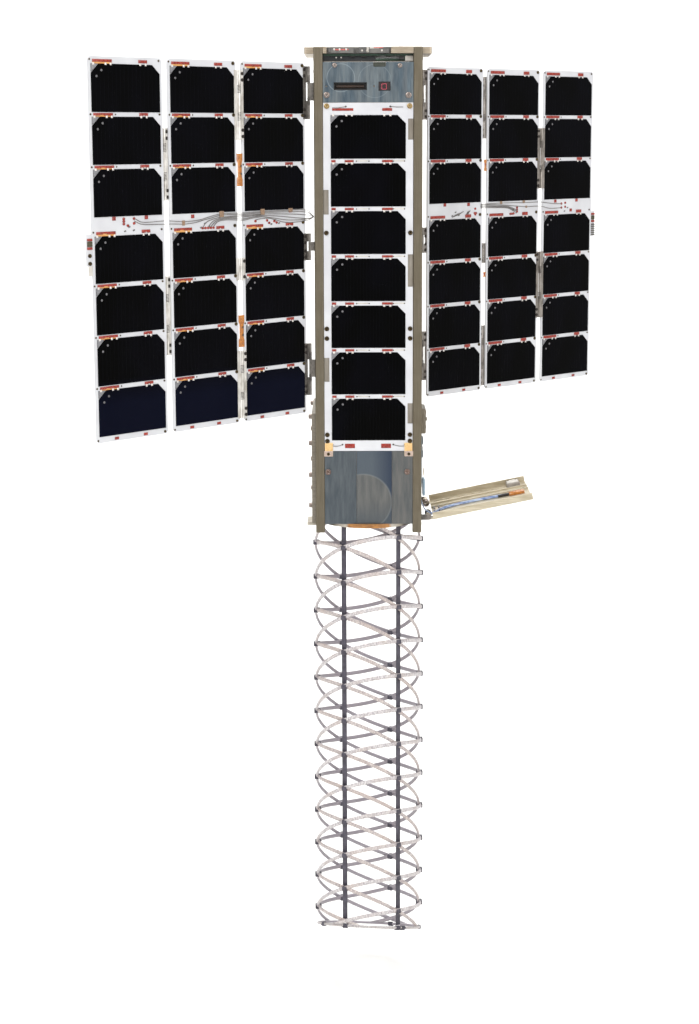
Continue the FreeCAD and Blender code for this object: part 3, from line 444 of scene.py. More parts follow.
# Dark olive block in the service plate's notch: painted shade of the recess.
notch_shade_olive = moulded("olive_notch_shade", "#3b4034", "#2a2e26", 0.5, 0.6, 0.3)
# Connector bodies in the end plate's recess.
grey_polymer = moulded("grey_connector_polymer", "#6d6a66", "#4c4b4a", 0.45, 0.6, 0.3)
pale_polymer = moulded("pale_connector_polymer", "#d5d0c8", "#b8b2a9", 0.42, 0.6, 0.2)
pink_mark = moulded("pink_inspection_lacquer", "#cf6058", "#a83a34", 0.3, 1.0, 0.4, 1.5, 1.5, 0.3)
# Deck: the same filmed aluminium, in shadow.
deck_film = metal("chemical_film_deck", "#c2bbae", "#9e9688", 0.42, (6.0, 0.9, 0.9), 0.3, "#dad4c8", 16.0, 0.7)

slot_finishes = {
    "rail_anodised": anodised, "bare_skin": bare_sheet, "champagne_metal": rear_blanks,
    "top_metal": top_milled, "service_metal": service_blank, "edge_connector": grey_polymer,
    "circuit_board": green_mask, "socket_plastic": black_polymer, "display_plastic": indicator_window,
    "white_board": white_mask, "solar_cell": solar_glass, "clip_metal": gold_plate, "deck_metal": deck_film,
    "amber_film": amber_disc, "side_plate_metal": side_dark, "release_metal": release_cast,
    "cable_strip": blue_flat, "electronics": dark_stack, "hinge_metal": hinge_steel, "strand_white": white_rod,
    "strand_beige": beige_rod, "clamp_dark": charcoal, "ring_composite": ring_rod, "tray_metal": tray_coat,
    "latch_metal": latch_grey, "cable_jacket": leads,
}
node_finishes = {"front_lower_plates": front_blanks}
for name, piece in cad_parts.items():
    for holder in piece.material_slots:
        holder.material = node_finishes.get(name) or slot_finishes[holder.name.split(".")[0]]


# Modelling by hand, in millimetres. A shape is modelled once and copied to each of its places.

def deselect():
    bpy.ops.object.select_all(action='DESELECT')


def pick(*pieces):
    """Selects only these pieces and makes the first one active."""
    deselect()
    for piece in pieces:
        piece.select_set(True)
    bpy.context.view_layer.objects.active = pieces[0]


def joined(name, pieces):
    """Makes one named piece of several."""
    pick(*pieces)
    if len(pieces) > 1:
        bpy.ops.object.join()
    piece = bpy.context.view_layer.objects.active
    piece.name = name
    return piece


def fresh(kind, stretch=(1, 1, 1), **size):
    """Starts a shape from a primitive, with nothing else selected."""
    deselect()
    getattr(bpy.ops.mesh, "primitive_" + kind + "_add")(**size)
    bpy.context.object.scale = stretch
    bpy.ops.object.transform_apply(location=True, rotation=True, scale=True)
    return bpy.context.object


def open_faces(piece, wanted):
    """Opens a shape in edit mode with only the wanted faces selected, by middle and normal."""
    bpy.context.view_layer.objects.active = piece
    bpy.ops.object.mode_set(mode='EDIT')
    bpy.ops.mesh.select_mode(type='FACE')
    bpy.ops.mesh.select_all(action='DESELECT')
    bpy.ops.object.mode_set(mode='OBJECT')
    for face in piece.data.polygons:
        face.select = wanted(face.center, face.normal)
    bpy.ops.object.mode_set(mode='EDIT')


def close():
    bpy.ops.object.mode_set(mode='OBJECT')


def everything(middle, normal):
    return True


def facing_up(middle, normal):
    return normal.z > 0.9


def use_modifier(piece, kind, **settings):
    """Adds a modifier and applies it."""
    pick(piece)
    added = piece.modifiers.new(kind, kind)
    for name, value in settings.items():
        setattr(added, name, value)
    bpy.ops.object.modifier_apply(modifier=added.name)


def ease(piece, width, segments=2):
    use_modifier(piece, 'BEVEL', width=width, segments=segments, limit_method='ANGLE', angle_limit=math.radians(35))
    smooth(piece)


def smooth(piece, degrees=38):
    pick(piece)
    bpy.ops.object.shade_smooth_by_angle(angle=math.radians(degrees))


def coat(piece, material):
    piece.data.materials.clear()
    piece.data.materials.append(material)
    return piece


patterns = []


def pattern(piece, material):
    """Coats a shape that is only there to be copied; all of these are removed at the end."""
    patterns.append(coat(piece, material))
    return piece


def block(x, y, z, material, edge=0.12, crown=0.0, inset=0.25):
    """A block that stands on z = 0, with a raised or sunken middle and eased edges."""
    piece = fresh("cube", size=1.0, scale=(x, y, z), location=(0, 0, z / 2))
    if crown:
        open_faces(piece, facing_up)
        bpy.ops.mesh.inset(thickness=min(x, y) * inset)
        bpy.ops.transform.translate(value=(0, 0, crown))
        close()
    ease(piece, edge)
    return pattern(piece, material)


def pan_screw(radius, height, material, drive=0.5):
    """A screw head: a low drum with a rounded rim and a six-sided socket."""
    piece = fresh("cylinder", vertices=18, radius=radius, depth=height, location=(0, 0, height / 2))
    open_faces(piece, facing_up)
    bpy.ops.mesh.inset(thickness=radius * 0.2)
    bpy.ops.transform.translate(value=(0, 0, height * 0.22))
    bpy.ops.mesh.inset(thickness=radius * (0.8 - drive))
    bpy.ops.mesh.inset(thickness=radius * 0.05)
    bpy.ops.transform.translate(value=(0, 0, -height * 0.75))
    close()
    smooth(piece, 30)
    return pattern(piece, material)


def dome(radius, height, material, sides=12):
    """A low round drop."""
    piece = fresh("cylinder", vertices=sides, radius=radius, depth=height, location=(0, 0, height / 2))
    open_faces(piece, facing_up)
    bpy.ops.mesh.inset(thickness=radius * 0.4)
    bpy.ops.transform.translate(value=(0, 0, height * 0.6))
    close()
    smooth(piece, 80)
    return pattern(piece, material)


def coil(radius, wire_radius, length, turns, material, sides=6, steps=14, degrees=None, tall=1.0):
    """A wire wound counterclockwise about the z axis, closed at both ends; tall stretches its section along z."""
    deselect()
    bpy.ops.mesh.primitive_circle_add(
        vertices=sides, radius=wire_radius, location=(radius, 0, 0), rotation=(math.pi / 2, 0, 0),
        fill_type='NOTHING',
    )
    bpy.context.object.scale = (1, tall, 1)
    bpy.ops.object.transform_apply(location=True, rotation=True, scale=True)
    piece = bpy.context.object
    sweep = math.radians(degrees if degrees is not None else 360 * turns)
    count = max(3, round(abs(sweep) / math.tau * steps))
    use_modifier(
        piece, 'SCREW', axis='Z', angle=sweep, screw_offset=length, steps=count, render_steps=count,
        use_merge_vertices=False, use_smooth_shade=True,
    )
    open_faces(piece, everything)
    bpy.ops.mesh.select_mode(type='VERT')
    bpy.ops.mesh.select_all(action='SELECT')
    bpy.ops.mesh.fill_holes(sides=0)
    bpy.ops.mesh.select_all(action='SELECT')
    bpy.ops.mesh.normals_make_consistent(inside=False)
    close()
    return pattern(piece, material)


def face_frame(origin, right, up=(0, 0, 1)):
    """A drawing frame on a face: x to the right, y up and z out of it, in millimetres."""
    right, up = Vector(right).normalized(), Vector(up).normalized()
    turned = Matrix((right, up, right.cross(up))).transposed().to_4x4()
    return Matrix.Translation(Vector(origin) * MM) @ turned @ Matrix.Scale(MM, 4)


def stamp(shape, on, x, y, z=0.0, turn=0.0, size=(1, 1, 1)):
    """Copies a shape, with its own mesh, to a place in a drawing frame."""
    copy = shape.copy()
    copy.data = shape.data.copy()
    bpy.context.scene.collection.objects.link(copy)
    place = Matrix.Translation((x, y, z)) @ Matrix.Rotation(math.radians(turn), 4, 'Z')
    copy.data.transform(on @ place @ Matrix.Diagonal((*size, 1)))
    return copy


def gather(name, copies, body):
    """Joins copies to one named piece that rides on a body."""
    piece = joined(name, copies)
    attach(piece, body)
    return piece


# A thin wire's middle above its board, and its radius.
wire_height = 0.42
jacket_radius = 0.33


def tube(name, points, radius, material):
    """A thin wire along a smooth line through points in millimetres, as a mesh."""
    curve = bpy.data.curves.new(name, 'CURVE')
    curve.dimensions = '3D'
    line = curve.splines.new('NURBS')
    line.points.add(len(points) - 1)
    for point, place in zip(line.points, points):
        point.co = (*(Vector(place) * MM), 1.0)
    line.use_endpoint_u = True
    line.order_u = 3
    line.resolution_u = 5
    curve.bevel_depth = radius * MM
    curve.bevel_resolution = 1
    curve.use_fill_caps = True
    piece = bpy.data.objects.new(name, curve)
    bpy.context.scene.collection.objects.link(piece)
    pick(piece)
    bpy.ops.object.convert(target='MESH')
    piece = bpy.context.object
    coat(piece, material)
    bpy.ops.object.shade_smooth()
    return piece


def bundle(name, lines, on, radius, material, body, crossing=None):
    """Wires drawn on a face as one piece; a point without a height lies at wire_height.

    crossing, when given, leaves the piece fixed in place instead of riding on body; the far body and the bend's ends in
    it are not used.
    """
    wires = []
    for number, line in enumerate(lines):
        points = [(on @ Vector(p if len(p) == 3 else (*p, wire_height))) / MM for p in line]
        wires.append(tube(name + "_" + str(number), points, radius, material))
    piece = joined(name, wires)
    if crossing:
        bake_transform(piece)
    else:
        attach(piece, body)
    return piece


# Drawing frames of the body's faces and the wings' boards

# Distances from the body's middle.
board_face = 49.2
skin_face = 47.6
front = face_frame((0, -board_face, 0), (1, 0, 0))
rear = face_frame((0, board_face, 0), (-1, 0, 0))
right_side = face_frame((skin_face, 0, 0), (0, 1, 0))
left_side = face_frame((-skin_face, 0, 0), (0, -1, 0))
top_side = face_frame((0, 0, 227.0), (1, 0, 0), (0, 1, 0))

wing_heading = {"left": math.radians(42.0), "right": math.radians(39.0)}
wing_root = {"left": Vector((-54.5, -46.2, 0)), "right": Vector((54.5, 46.2, 0))}
board_front = {"left": -2.2, "right": 3.4}
board_thick = 1.6
panel_width = 74.0
panel_pitch = 80.0
panel_gap = 3.0
panels = ("inner", "middle", "outer")
# Heights of the screws and of the red marks at a wing board's lower edge.
board_foot, foot_marks = -109.6, -109.4


def wing_ways(side):
    """The way along an open wing, to the right, and the way out of its cells."""
    turned = wing_heading[side]
    along = Vector((math.cos(turned), math.sin(turned), 0))
    return along, Vector((along.y, -along.x, 0))


def wing_frame(side):
    """Drawing frame of a whole wing; x is nothing at the root axis and grows to the right."""
    along, out = wing_ways(side)
    return face_frame(wing_root[side] + out * board_front[side], along)


def panel_left_edge(side, index):
    """Where a panel's left edge lies in its wing's frame."""
    start = panel_gap + panel_pitch * index
    return start if side == "right" else -start - panel_width


def wing_back(side):
    """Drawing frame of a wing seen from behind."""
    along, out = wing_ways(side)
    return face_frame(wing_root[side] + out * (board_front[side] - board_thick), -along)


body_rows = [165.2 - 43.9 * n for n in range(7)]
wing_rows = [206.4, 162.9, 119.4, 63.7, 20.2, -23.3, -66.8]
# Each board: its name, body, drawing frame, the cells' left edge, their tops, and the rise of the first beads.
body_boards = [(name + "_board", "root", on, -34.55, body_rows, 5.1) for name, on in (("front", front), ("rear", rear))]
wing_boards = [
    (side + "_" + panel, side + "_" + panel, wing_frame(side), panel_left_edge(side, index) + 2.45, wing_rows, 2.5)
    for side in ("left", "right") for index, panel in enumerate(panels)
]


# What each solar cell carries

# How high a cell's face is, and places from the upper left corner of a cell.
cell_face = 0.4
tab_places = (2.4, 14.5, 19.6, 49.3, 54.9)
weld_places = ((10.3, -5.4), (5.4, -10.3))
back_pad_places = (4.8, 17.0, 22.0, 51.8, 57.4)
long_bead_place, short_bead_place = 11.2, 52.0
# How far above its cell a bead lies: in most rows, and in the wings' row under the harness.
bead_rise, harness_row_rise = 1.95, 2.6


def cell_fittings():
    """Staking beads, welded tabs, bypass diodes and weld spots on every cell."""
    bead_long = block(19.5, 2.3, 0.45, red_staking, 0.3, 0.22, 0.3)
    bead_short = block(10.0, 2.3, 0.45, red_staking, 0.3, 0.22, 0.3)
    tab = block(1.9, 2.0, 0.28, silver_tab, 0.12, 0.06)
    drop = dome(1.05, 0.1, weld_spot, 10)
    # The amber strip and the two rings below are painted glints, which only the left wing gets.
    glint = block(19.2, 1.7, 0.16, amber_glint, 0.06, 0.05)
    ring = dome(1.35, 0.22, pale_polymer, 12)
    amber_ring = dome(1.35, 0.22, amber_glint, 12)
    dot = dome(0.62, 0.25, black_screw, 8)
    raised = block(10.0, 1.1, 0.22, pale_polymer, 0.08)
    diode = fresh("cube", size=1.0, scale=(6.9, 6.9, 0.12), location=(3.45, -3.45, 0.06))
    open_faces(diode, everything)
    bpy.ops.mesh.bisect(plane_co=(6.9, 0, 0), plane_no=(1, -1, 0), use_fill=True, clear_outer=True)
    close()
    ease(diode, 0.04, 1)
    pattern(diode, diode_plate)
    for name, body, on, left, rows, first_rise in body_boards + wing_boards:
        beads, metal_bits, glints = [], [], []
        for number, top in enumerate(rows):
            rise = first_rise if number == 0 else bead_rise
            if number == 3 and body != "root":
                rise = harness_row_rise
            y = top + rise
            if body == "root" and number:
                beads += [stamp(bead_long, on, left + 17.0, y, size=(0.43, 1, 1))]
                beads.append(stamp(bead_short, on, left + 2.5, y, size=(0.4, 1, 1)))
                beads.append(stamp(bead_short, on, left + 52.2, y))
                metal_bits += [stamp(dot, on, left + x, y) for x in (23.6, 35.2, 57.8, 68.0)]
                metal_bits += [stamp(raised, on, left + x, y + 0.2) for x in (29.2, 63.0)]
            else:
                tall, short = (1.25, 0.8) if name.startswith("right") else (1.0, 0.9)
                beads.append(stamp(bead_long, on, left + long_bead_place, y, size=(1, tall, 1)))
                beads.append(stamp(bead_short, on, left + short_bead_place, y, size=(short, tall * 1.15, 1)))
            if name.startswith("left") and number:
                beads.append(stamp(amber_ring, on, left + 9.8, y - 0.3, 0.3, size=(2.1, 0.75, 1)))
                beads.append(stamp(ring, on, left + short_bead_place, y - 0.3, 0.3, size=(0.9, 0.75, 1)))
            for x in tab_places:
                metal_bits.append(stamp(tab, on, left + x, top - 0.1, 0.38))
            for x, y in weld_places:
                metal_bits.append(stamp(drop, on, left + x, top + y, cell_face))
            metal_bits.append(stamp(diode, on, left + 0.1, top - 0.1, cell_face))
            if name.startswith("left"):
                glints.append(stamp(glint, on, left + long_bead_place, top + min(rise, 3.0) - 1.9, 0.02))
        gather(name + "_staking", beads, body)
        gather(name + "_tabs", metal_bits, body)
        if glints:
            gather(name + "_amber_strips", glints, body)


def wing_screws():
    """Small dark screws and vias along each wing board, front and back."""
    small = pan_screw(1.15, 0.5, black_screw)
    via = dome(0.9, 0.12, black_screw, 10)
    back_nut = block(3.2, 3.2, 0.34, hinge_steel, 0.1, 0.1)
    back_pad = block(2.2, 1.4, 0.16, silver_tab, 0.06, 0.04)
    for side in ("left", "right"):
        on, behind = wing_frame(side), wing_back(side)
        for index, panel in enumerate(panels):
            left = panel_left_edge(side, index)
            heads, backs = [], []
            for number, top in enumerate(wing_rows):
                rise = 3.4 if number in (0, 3) else 1.9
                wide = 0.75 if panel == "outer" else 1.35
                heads.append(stamp(small, on, left + panel_width - 3.2, top + rise + 0.2, size=(wide, wide, 1)))
                heads.append(stamp(via, on, left + 1.3, top + rise))
                if number not in (0, 3):
                    heads.append(stamp(via, on, left + 26.0, top + rise, size=(0.8, 0.8, 1)))
                backs.append(stamp(back_nut, behind, -left - panel_width + 3.4, top + rise + 0.2))
                for x in back_pad_places:
                    backs.append(stamp(back_pad, behind, -left - x, top - 0.4))
            heads.append(stamp(small, on, left + panel_width - 3.4, board_foot))
            heads.append(stamp(via, on, left + 1.3, board_foot))
            gather(side + "_" + panel + "_screws", heads, side + "_" + panel)
            gather(side + "_" + panel + "_back_fittings", backs, side + "_" + panel)


def board_marks():
    """Staked parts on the white boards: squares under row three and at the lower edge, and the harness pads."""
    square = block(3.6, 3.2, 0.4, red_staking, 0.25, 0.2)
    red_drop = dome(1.1, 0.35, red_staking, 12)
    chip = block(2.0, 1.2, 0.4, grey_polymer, 0.08)
    lists = {
        ("left", "inner"): (
            [(-21.3, 79.0), (-54.4, 78.7)], [(-62.5, 70.4), (-49.0, 70.5), (-46.5, 68.2), (-40.5, 69.6), (-37.8, 68.2)],
        ),
        ("left", "middle"): ([(-132.8, 77.7), (-101.1, 78.9)], [(-122.0 + 3.0 * n, 66.4) for n in range(5)]),
        ("left", "outer"): (
            [(-182.0, 78.6), (-215.0, 78.6)],
            [(-205.1, 77.5), (-205.1, 75.4), (-205.1, 73.1), (-194.6, 77.4), (-194.6, 73.4), (-201.0, 71.6)],
        ),
        ("right", "inner"): ([(25.9, 78.8), (57.9, 78.4)], [(66.4, 68.9), (68.4, 68.9), (67.4, 67.6), (67.2, 73.3)]),
        ("right", "middle"): (
            [], [(126.0, 72.6), (126.0, 70.6), (126.0, 68.6), (116.5, 66.6), (118.8, 66.6), (121.1, 66.8)],
        ),
        ("right", "outer"): (
            [(182.0, 78.4), (214.0, 78.6), (205.4, 68.4)], [(191.3, 75.0), (197.0, 75.6), (191.3, 70.7), (197.0, 71.5)],
        ),
    }
    for (side, panel), (squares, drops) in lists.items():
        on = wing_frame(side)
        left = panel_left_edge(side, panels.index(panel))
        marks = [stamp(square, on, x, y - 0.6) for x, y in squares]
        marks += [stamp(red_drop, on, x, y, size=(1.25, 1.1, 1)) for x, y in drops]
        for x in (20.0, 50.0):
            marks.append(stamp(square, on, left + x, foot_marks, size=(1.2, 0.75, 1)))
        for x, y in ((33.0, 67.0), (37.5, 70.5), (42.0, 67.5)):
            marks.append(stamp(chip, on, left + x, y, 0.0, 20))
        gather(side + "_" + panel + "_board_marks", marks, side + "_" + panel)
    for name, on in (("front", front), ("rear", rear)):
        marks = []
        for x in (-17.6, 16.4):
            marks.append(stamp(square, on, x, -143.3, size=(2.6, 1.32, 1)))
        gather(name + "_board_marks", marks, "root")


def body_screws():
    """Screws on the service plate, the front and rear boards and the lower plates."""
    pan = pan_screw(2.1, 1.1, steel_screw)
    brass = pan_screw(2.5, 1.0, brass_screw)
    dark = pan_screw(2.15, 0.8, black_screw, 0.55)
    small_dot = dome(0.8, 0.3, black_screw, 10)
    low = pan_screw(2.7, 1.1, pinkish_screw, 0.62)
    lug = block(8.2, 5.2, 0.35, clip_foot, 0.15, 0.08)
    for name, on in (("front", front), ("rear", rear)):
        light = [stamp(pan, on, x, z, 0.2) for x, z in ((-30.7, 210.3), (29.1, 209.9))]
        light += [stamp(pan, on, x, z, 0.2, size=(1.3, 1.3, 1)) for x, z in ((-38.1, 183.5), (37.0, 183.2))]
        light += [stamp(brass, on, x, 173.4) for x in (-38.1, 38.1)]
        light += [stamp(low, on, x, -168.2, 0.2) for x in (-38.3, 36.4)]
        gather(name + "_light_screws", light, "root")
        blacks = [stamp(dark, on, sign * 38.9, z, 0.0) for sign in (-1, 1) for z in (57.3, -32.1, -41.2)]
        blacks += [stamp(dark, on, sign * 38.9, z, 0.0) for sign in (-1, 1) for z in (-132.6, -138.6)]
        blacks += [stamp(small_dot, on, x, z, 0.0) for x, z in ((-20.5, 173.0), (20.3, 173.0))]
        blacks += [stamp(small_dot, on, x, -142.0, 0.0) for x in (-24.6, -34.0, 23.2, 34.0)]
        gather(name + "_dark_screws", blacks, "root")
        foot = [stamp(lug, on, x, -150.6, 1.0) for x in (-37.9, 37.9)]
        foot += [stamp(dark, on, x, -150.8, 1.3, size=(0.7, 0.7, 0.8)) for x in (-37.9, 37.9)]
        gather(name + "_clip_feet", foot, "root")


def body_wires():
    """Thin bonding wires from the board's corner screws and clips to their solder drops."""
    lines = [
        [(32.0, 172.6, 0.5), (27.0, 172.2, 0.7), (20.3, 173.0, 0.4)],
        [(-33.0, 172.0, 0.6), (-29.0, 171.2, 0.8), (-20.5, 173.0, 0.4)],
        [(-33.6, -143.2, 0.7), (-29.0, -144.2, 0.5), (-24.6, -142.0, 0.4)],
        [(33.6, -143.2, 0.7), (29.0, -144.2, 0.5), (23.2, -142.0, 0.4)],
    ]
    bundle("front_bonding_wires", lines, front, 0.28, grey_jacket, "root")
    bundle("rear_bonding_wires", lines, rear, 0.28, grey_jacket, "root")


# Service plate, socket, indicator and top end

socket_x, socket_z = -16.4, 191.3
digit_x, digit_z = 14.6, 191.0


def service_details():
    """Contacts in the socket, the lit digit, and the parts seen in the top slot and recess."""
    pin = block(0.7, 0.5, 1.6, bronze, 0.08)
    pins = []
    for row in (-1, 1):
        for number in range(22):
            pins.append(stamp(pin, front, -28.6 + number * 1.15, socket_z + row * 0.9, -4.4))
    gather("socket_contacts", pins, "root")
    lip = block(30.0, 0.7, 0.5, black_polymer, 0.15)
    rims = [stamp(lip, front, socket_x, z, -1.4) for z in (188.3, 194.3)]
    rims += [stamp(lip, front, x, socket_z, -1.4, 90, (0.21, 1, 1)) for x in (-31.0, -1.8)]
    dark_insert = moulded("brown_contact_insert", "#3a2a20", "#241a14", 0.5)
    tongue = block(25.6, 1.1, 2.6, dark_insert, 0.15)
    rims.append(stamp(tongue, front, socket_x, socket_z, -4.6))
    gather("socket_rim", rims, "root")
    bar = fresh("cube", size=1.0, scale=(3.7, 1.15, 0.3), location=(0, 0, 0.15))
    open_faces(bar, lambda middle, normal: abs(normal.x) > 0.9)
    bpy.ops.transform.resize(value=(1, 0.25, 1))
    close()
    ease(bar, 0.06, 1)
    pattern(bar, segment_glow)
    segments = [stamp(bar, front, digit_x, digit_z + dy, -1.05) for dy in (-2.4, 2.4)]
    segments += [
        stamp(bar, front, digit_x + dx, digit_z + dy, -1.05, 90, (0.64, 1, 1))
        for dx in (-2.1, 2.1) for dy in (-1.2, 1.2)
    ]
    gather("indicator_digit", segments, "root")
    white_dot = block(1.3, 1.2, 0.6, pale_polymer, 0.15)
    slot_bits = [stamp(white_dot, front, x, 217.4, -6.0) for x in (-29.2, -24.6)]
    chip = block(4.4, 1.3, 1.4, black_polymer, 0.15, 0.1)
    slot_bits += [stamp(chip, front, x, 218.3, -7.4) for x in (-14.0, -4.0, 8.0, 19.0)]
    shell = block(7.2, 4.6, 1.6, pale_polymer, 0.3, -0.5, 0.22)
    slot_bits.append(stamp(shell, front, 37.6, 216.6, -6.3))
    dark_shell = block(5.4, 3.0, 1.5, black_polymer, 0.25, -0.4, 0.2)
    slot_bits.append(stamp(dark_shell, front, 30.2, 217.2, -6.3))
    gather("slot_parts", slot_bits, "root")
    lip_rail = block(82.0, 0.8, 1.4, shaded_lip, 0.25)
    gather("slot_lip", [stamp(lip_rail, on, 0, 213.8, -3.0) for on in (front, rear)], "root")
    # Painted shade: the dark block stands for the shaded depth at the left of the slot; the green strip beside it is
    # the board's edge.
    row = block(50.0, 5.4, 2.0, dark_stack, 0.3, -0.4, 0.1)
    edge = block(34.0, 2.2, 1.2, green_mask, 0.2)
    backing = [stamp(row, front, -18.0, 217.2, -10.4), stamp(edge, front, 24.0, 215.6, -9.4)]
    gather("slot_shade_backing_and_board_edge", backing, "root")
    # Painted shade: a dark olive block fills the notch, which is a shaded recess.
    filling = block(11.0, 4.2, 1.0, notch_shade_olive, 0.3, -0.3, 0.2)
    gather("notch_shade_block", [stamp(filling, front, 10.4, 211.0, -1.9)], "root")
    housing = block(19.0, 3.6, 1.4, grey_polymer, 0.3, -0.5, 0.16)
    lacquer = block(11.5, 1.1, 0.7, pink_mark, 0.3, 0.15)
    blob = dome(1.0, 0.6, pale_polymer, 12)
    header = block(8.5, 4.4, 1.2, pale_polymer, 0.35, -0.4, 0.2)
    header_pin = block(1.1, 1.6, 0.9, black_polymer, 0.12)
    bits = [stamp(housing, front, -26.5, 224.3, -0.9)]
    bits += [stamp(lacquer, front, -24.0, 224.3, size=(1.05, 1.0, 1))]
    bits += [stamp(blob, front, x, 224.5, 0.1) for x in (-31.0, -26.0, -20.0)]
    bits += [stamp(header, front, x, 224.0, -0.9) for x in (-3.6, 5.8)]
    bits += [stamp(lacquer, front, 9.5, 226.0, -0.4, size=(0.75, 0.7, 1))]
    bits += [stamp(blob, front, x, 223.5, 0.1, size=(0.9, 0.9, 1)) for x in (-5.5, -1.0, 12.6)]
    bits += [stamp(header_pin, front, x, 223.6, -0.5) for x in (15.5, 17.2, 18.9)]
    gather("edge_connector_details", bits, "root")


def plate_screws():
    """Screws round the end plate, the skins, the side plate and the root brackets."""
    cap = pan_screw(2.2, 1.2, steel_screw, 0.5)
    high = pan_screw(2.4, 2.5, steel_screw, 0.5)
    flush = pan_screw(1.7, 0.5, steel_screw, 0.5)
    tiny = pan_screw(1.0, 0.5, black_screw)
    heads = [stamp(cap, top_side, x, y, -1.1) for x in (-45.6, 45.6) for y in (-36, 0, 36)]
    heads += [stamp(cap, top_side, x, 45.6, -1.1) for x in (-30, 0, 30)]
    heads += [stamp(cap, top_side, x, -45.6, -1.1) for x in (-40.4, 30)]
    heads += [stamp(cap, top_side, x, y, -2.5) for x in (-32, 32) for y in (-32, 32)]
    gather("end_plate_screws", heads, "root")
    heads = []
    for on in (left_side, right_side):
        heads += [stamp(flush, on, x, z) for x in (-38.4, 38.4) for z in (206, 160, 100, 40, -20, -80)]
    heads += [stamp(flush, right_side, x, z) for x in (-38.4, 38.4) for z in (-112, -150, -190)]
    gather("skin_screws", heads, "root")
    side_plate = face_frame((-53.8, 0, 0), (0, -1, 0))
    heads = [stamp(high, side_plate, x, z) for x in (-40, 40) for z in (-116.5, -142.1, -172.7, -202.2)]
    gather("side_plate_screws", heads, "root")
    heads = []
    for on in (face_frame((-50, 0, 0), (0, -1, 0)), face_frame((50, 0, 0), (0, 1, 0))):
        for z in (216, 205, -206, -219):
            heads += [stamp(tiny, on, y, z, -0.35, size=(1.4, 1.4, 1)) for y in (-45.6, 45.6)]
    gather("rail_screws", heads, "root")


# Hinges: screws on the leaves and torsion springs round the pins

# Top and bottom of each hinge leaf in millimetres. Only a leaf longer than long_leaf has springs and a bar,
# and one shorter than short_leaf has no second screws; the screws sit in from its ends.
long_leaf, short_leaf = 40, 22
end_screw, second_screw = 3.0, 8.6
leaf_thick = 0.4
hinge_spans = {
    "root": ((209.6, 161.6), (56.8, 31.9), (-46.0, -94.9)),
    "inner": ((204.4, 143.1), (38.0, 17.9), (-46.0, -107.9)),
    "outer": ((153.5, 91.5), (26.0, -43.0)),
}


def hinge_details():
    """Leaf screws and springs. A hinge on the cells' side stands proud; the other sort sits in the gap."""
    screw = pan_screw(1.55, 0.34, dark_screw, 0.5)
    spring = coil(1.42, 0.26, 7.4, 6, dark_screw, 5, 10)
    bar = block(1.5, 15.0, 0.45, hinge_steel, 0.2, 0.12)
    # From the root outwards: 1 for a hinge on the cells' side, and below it the height of its pin.
    fold_out = {"left": (1, 1, -1), "right": (-1, -1, 1)}
    for side in ("left", "right"):
        on = wing_frame(side)
        sign = -1 if side == "left" else 1
        axis_depth = {"left": (2.2, 0.8, -2.2), "right": (-3.4, -2.2, 0.8)}[side]
        for joint, kind in enumerate(("root", "inner", "outer")):
            body = side + "_" + panels[max(joint - 1, 0)]
            proud = fold_out[side][joint] > 0
            axis_x = sign * panel_pitch * joint
            own = 1 if kind == "root" else -1
            reach = 3.9 if proud else 2.05
            x = axis_x + sign * own * reach
            level = leaf_thick if proud else -board_thick
            heads, springs = [], []
            for top, bottom in hinge_spans[kind]:
                length = top - bottom
                for y in (top - end_screw, top - second_screw, bottom + end_screw, bottom + second_screw):
                    if length > short_leaf or y in (top - end_screw, bottom + end_screw):
                        heads.append(stamp(screw, on, x, y, level))
                middle = (top + bottom) / 2
                lift = axis_depth[joint]
                upright = Matrix.Rotation(-math.pi / 2, 4, 'X')
                for shift in (length * 0.17, -length * 0.17 - 3.5) if length > long_leaf else ():
                    copy = stamp(spring, on @ Matrix.Translation((axis_x, middle + shift, lift)) @ upright, 0, 0, 0)
                    springs.append(copy)
                if length > long_leaf and side + kind != "rightroot":
                    heads.append(stamp(bar, on, x, middle, level, size=(0.9, 1, 1)))
            gather(side + "_" + kind + "_hinge_screws", heads, body)
            gather(side + "_" + kind + "_springs", springs, body)
    foot = pan_screw(1.3, 0.5, black_screw)
    heads = []
    for side, x in (("left", -50.6), ("right", 50.6)):
        out = -1 if side == "left" else 1
        on = face_frame((x, 0, 0), (0, out, 0))
        y = wing_root[side].y * out - 0.4
        for top, bottom in hinge_spans["root"]:
            length = top - bottom
            heads += [stamp(foot, on, y, z) for z in (top - length * 0.38, top - length * 0.56)]
    gather("root_bracket_screws", heads, "root")


def flex_straps():
    """Amber flexible circuits between the inner and middle panels, one above and one below the harness."""
    for side, width, offset in (("left", 6.6, 0.0), ("right", 4.0, 0.6)):
        on = wing_frame(side)
        sign = -1 if side == "left" else 1
        axis_x = sign * panel_pitch
        straps = []
        heights = ((116.6, 29.0), (-28.2, 29.0)) if side == "left" else ((116.5, 11.5), (6.4, 5.0))
        for middle, height in heights:
            strap = fresh("grid", (width, height, 1), x_subdivisions=8, y_subdivisions=10, size=1.0)
            for vertex in strap.data.vertices:
                across = vertex.co.x / (width / 2)
                vertex.co.z = 0.45 * (1 - across * across)
                if abs(vertex.co.y) < height * 0.2:
                    vertex.co.x *= 0.72
            use_modifier(strap, 'SOLIDIFY', thickness=0.18, offset=1.0)
            ease(strap, 0.05, 1)
            pattern(strap, amber_flex)
            straps.append(stamp(strap, on, axis_x + offset, middle, 0.02))
            pad = block(1.6, 2.0, 0.3, black_screw if side == "left" else red_staking, 0.2, 0.1)
            for share in (-0.12, 0.12) if side == "left" else (0.1,):
                straps.append(stamp(pad, on, axis_x + offset - sign * width * 0.2, middle + height * share, 0.4))
        piece = joined(side + "_flex_straps", straps)
        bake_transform(piece)


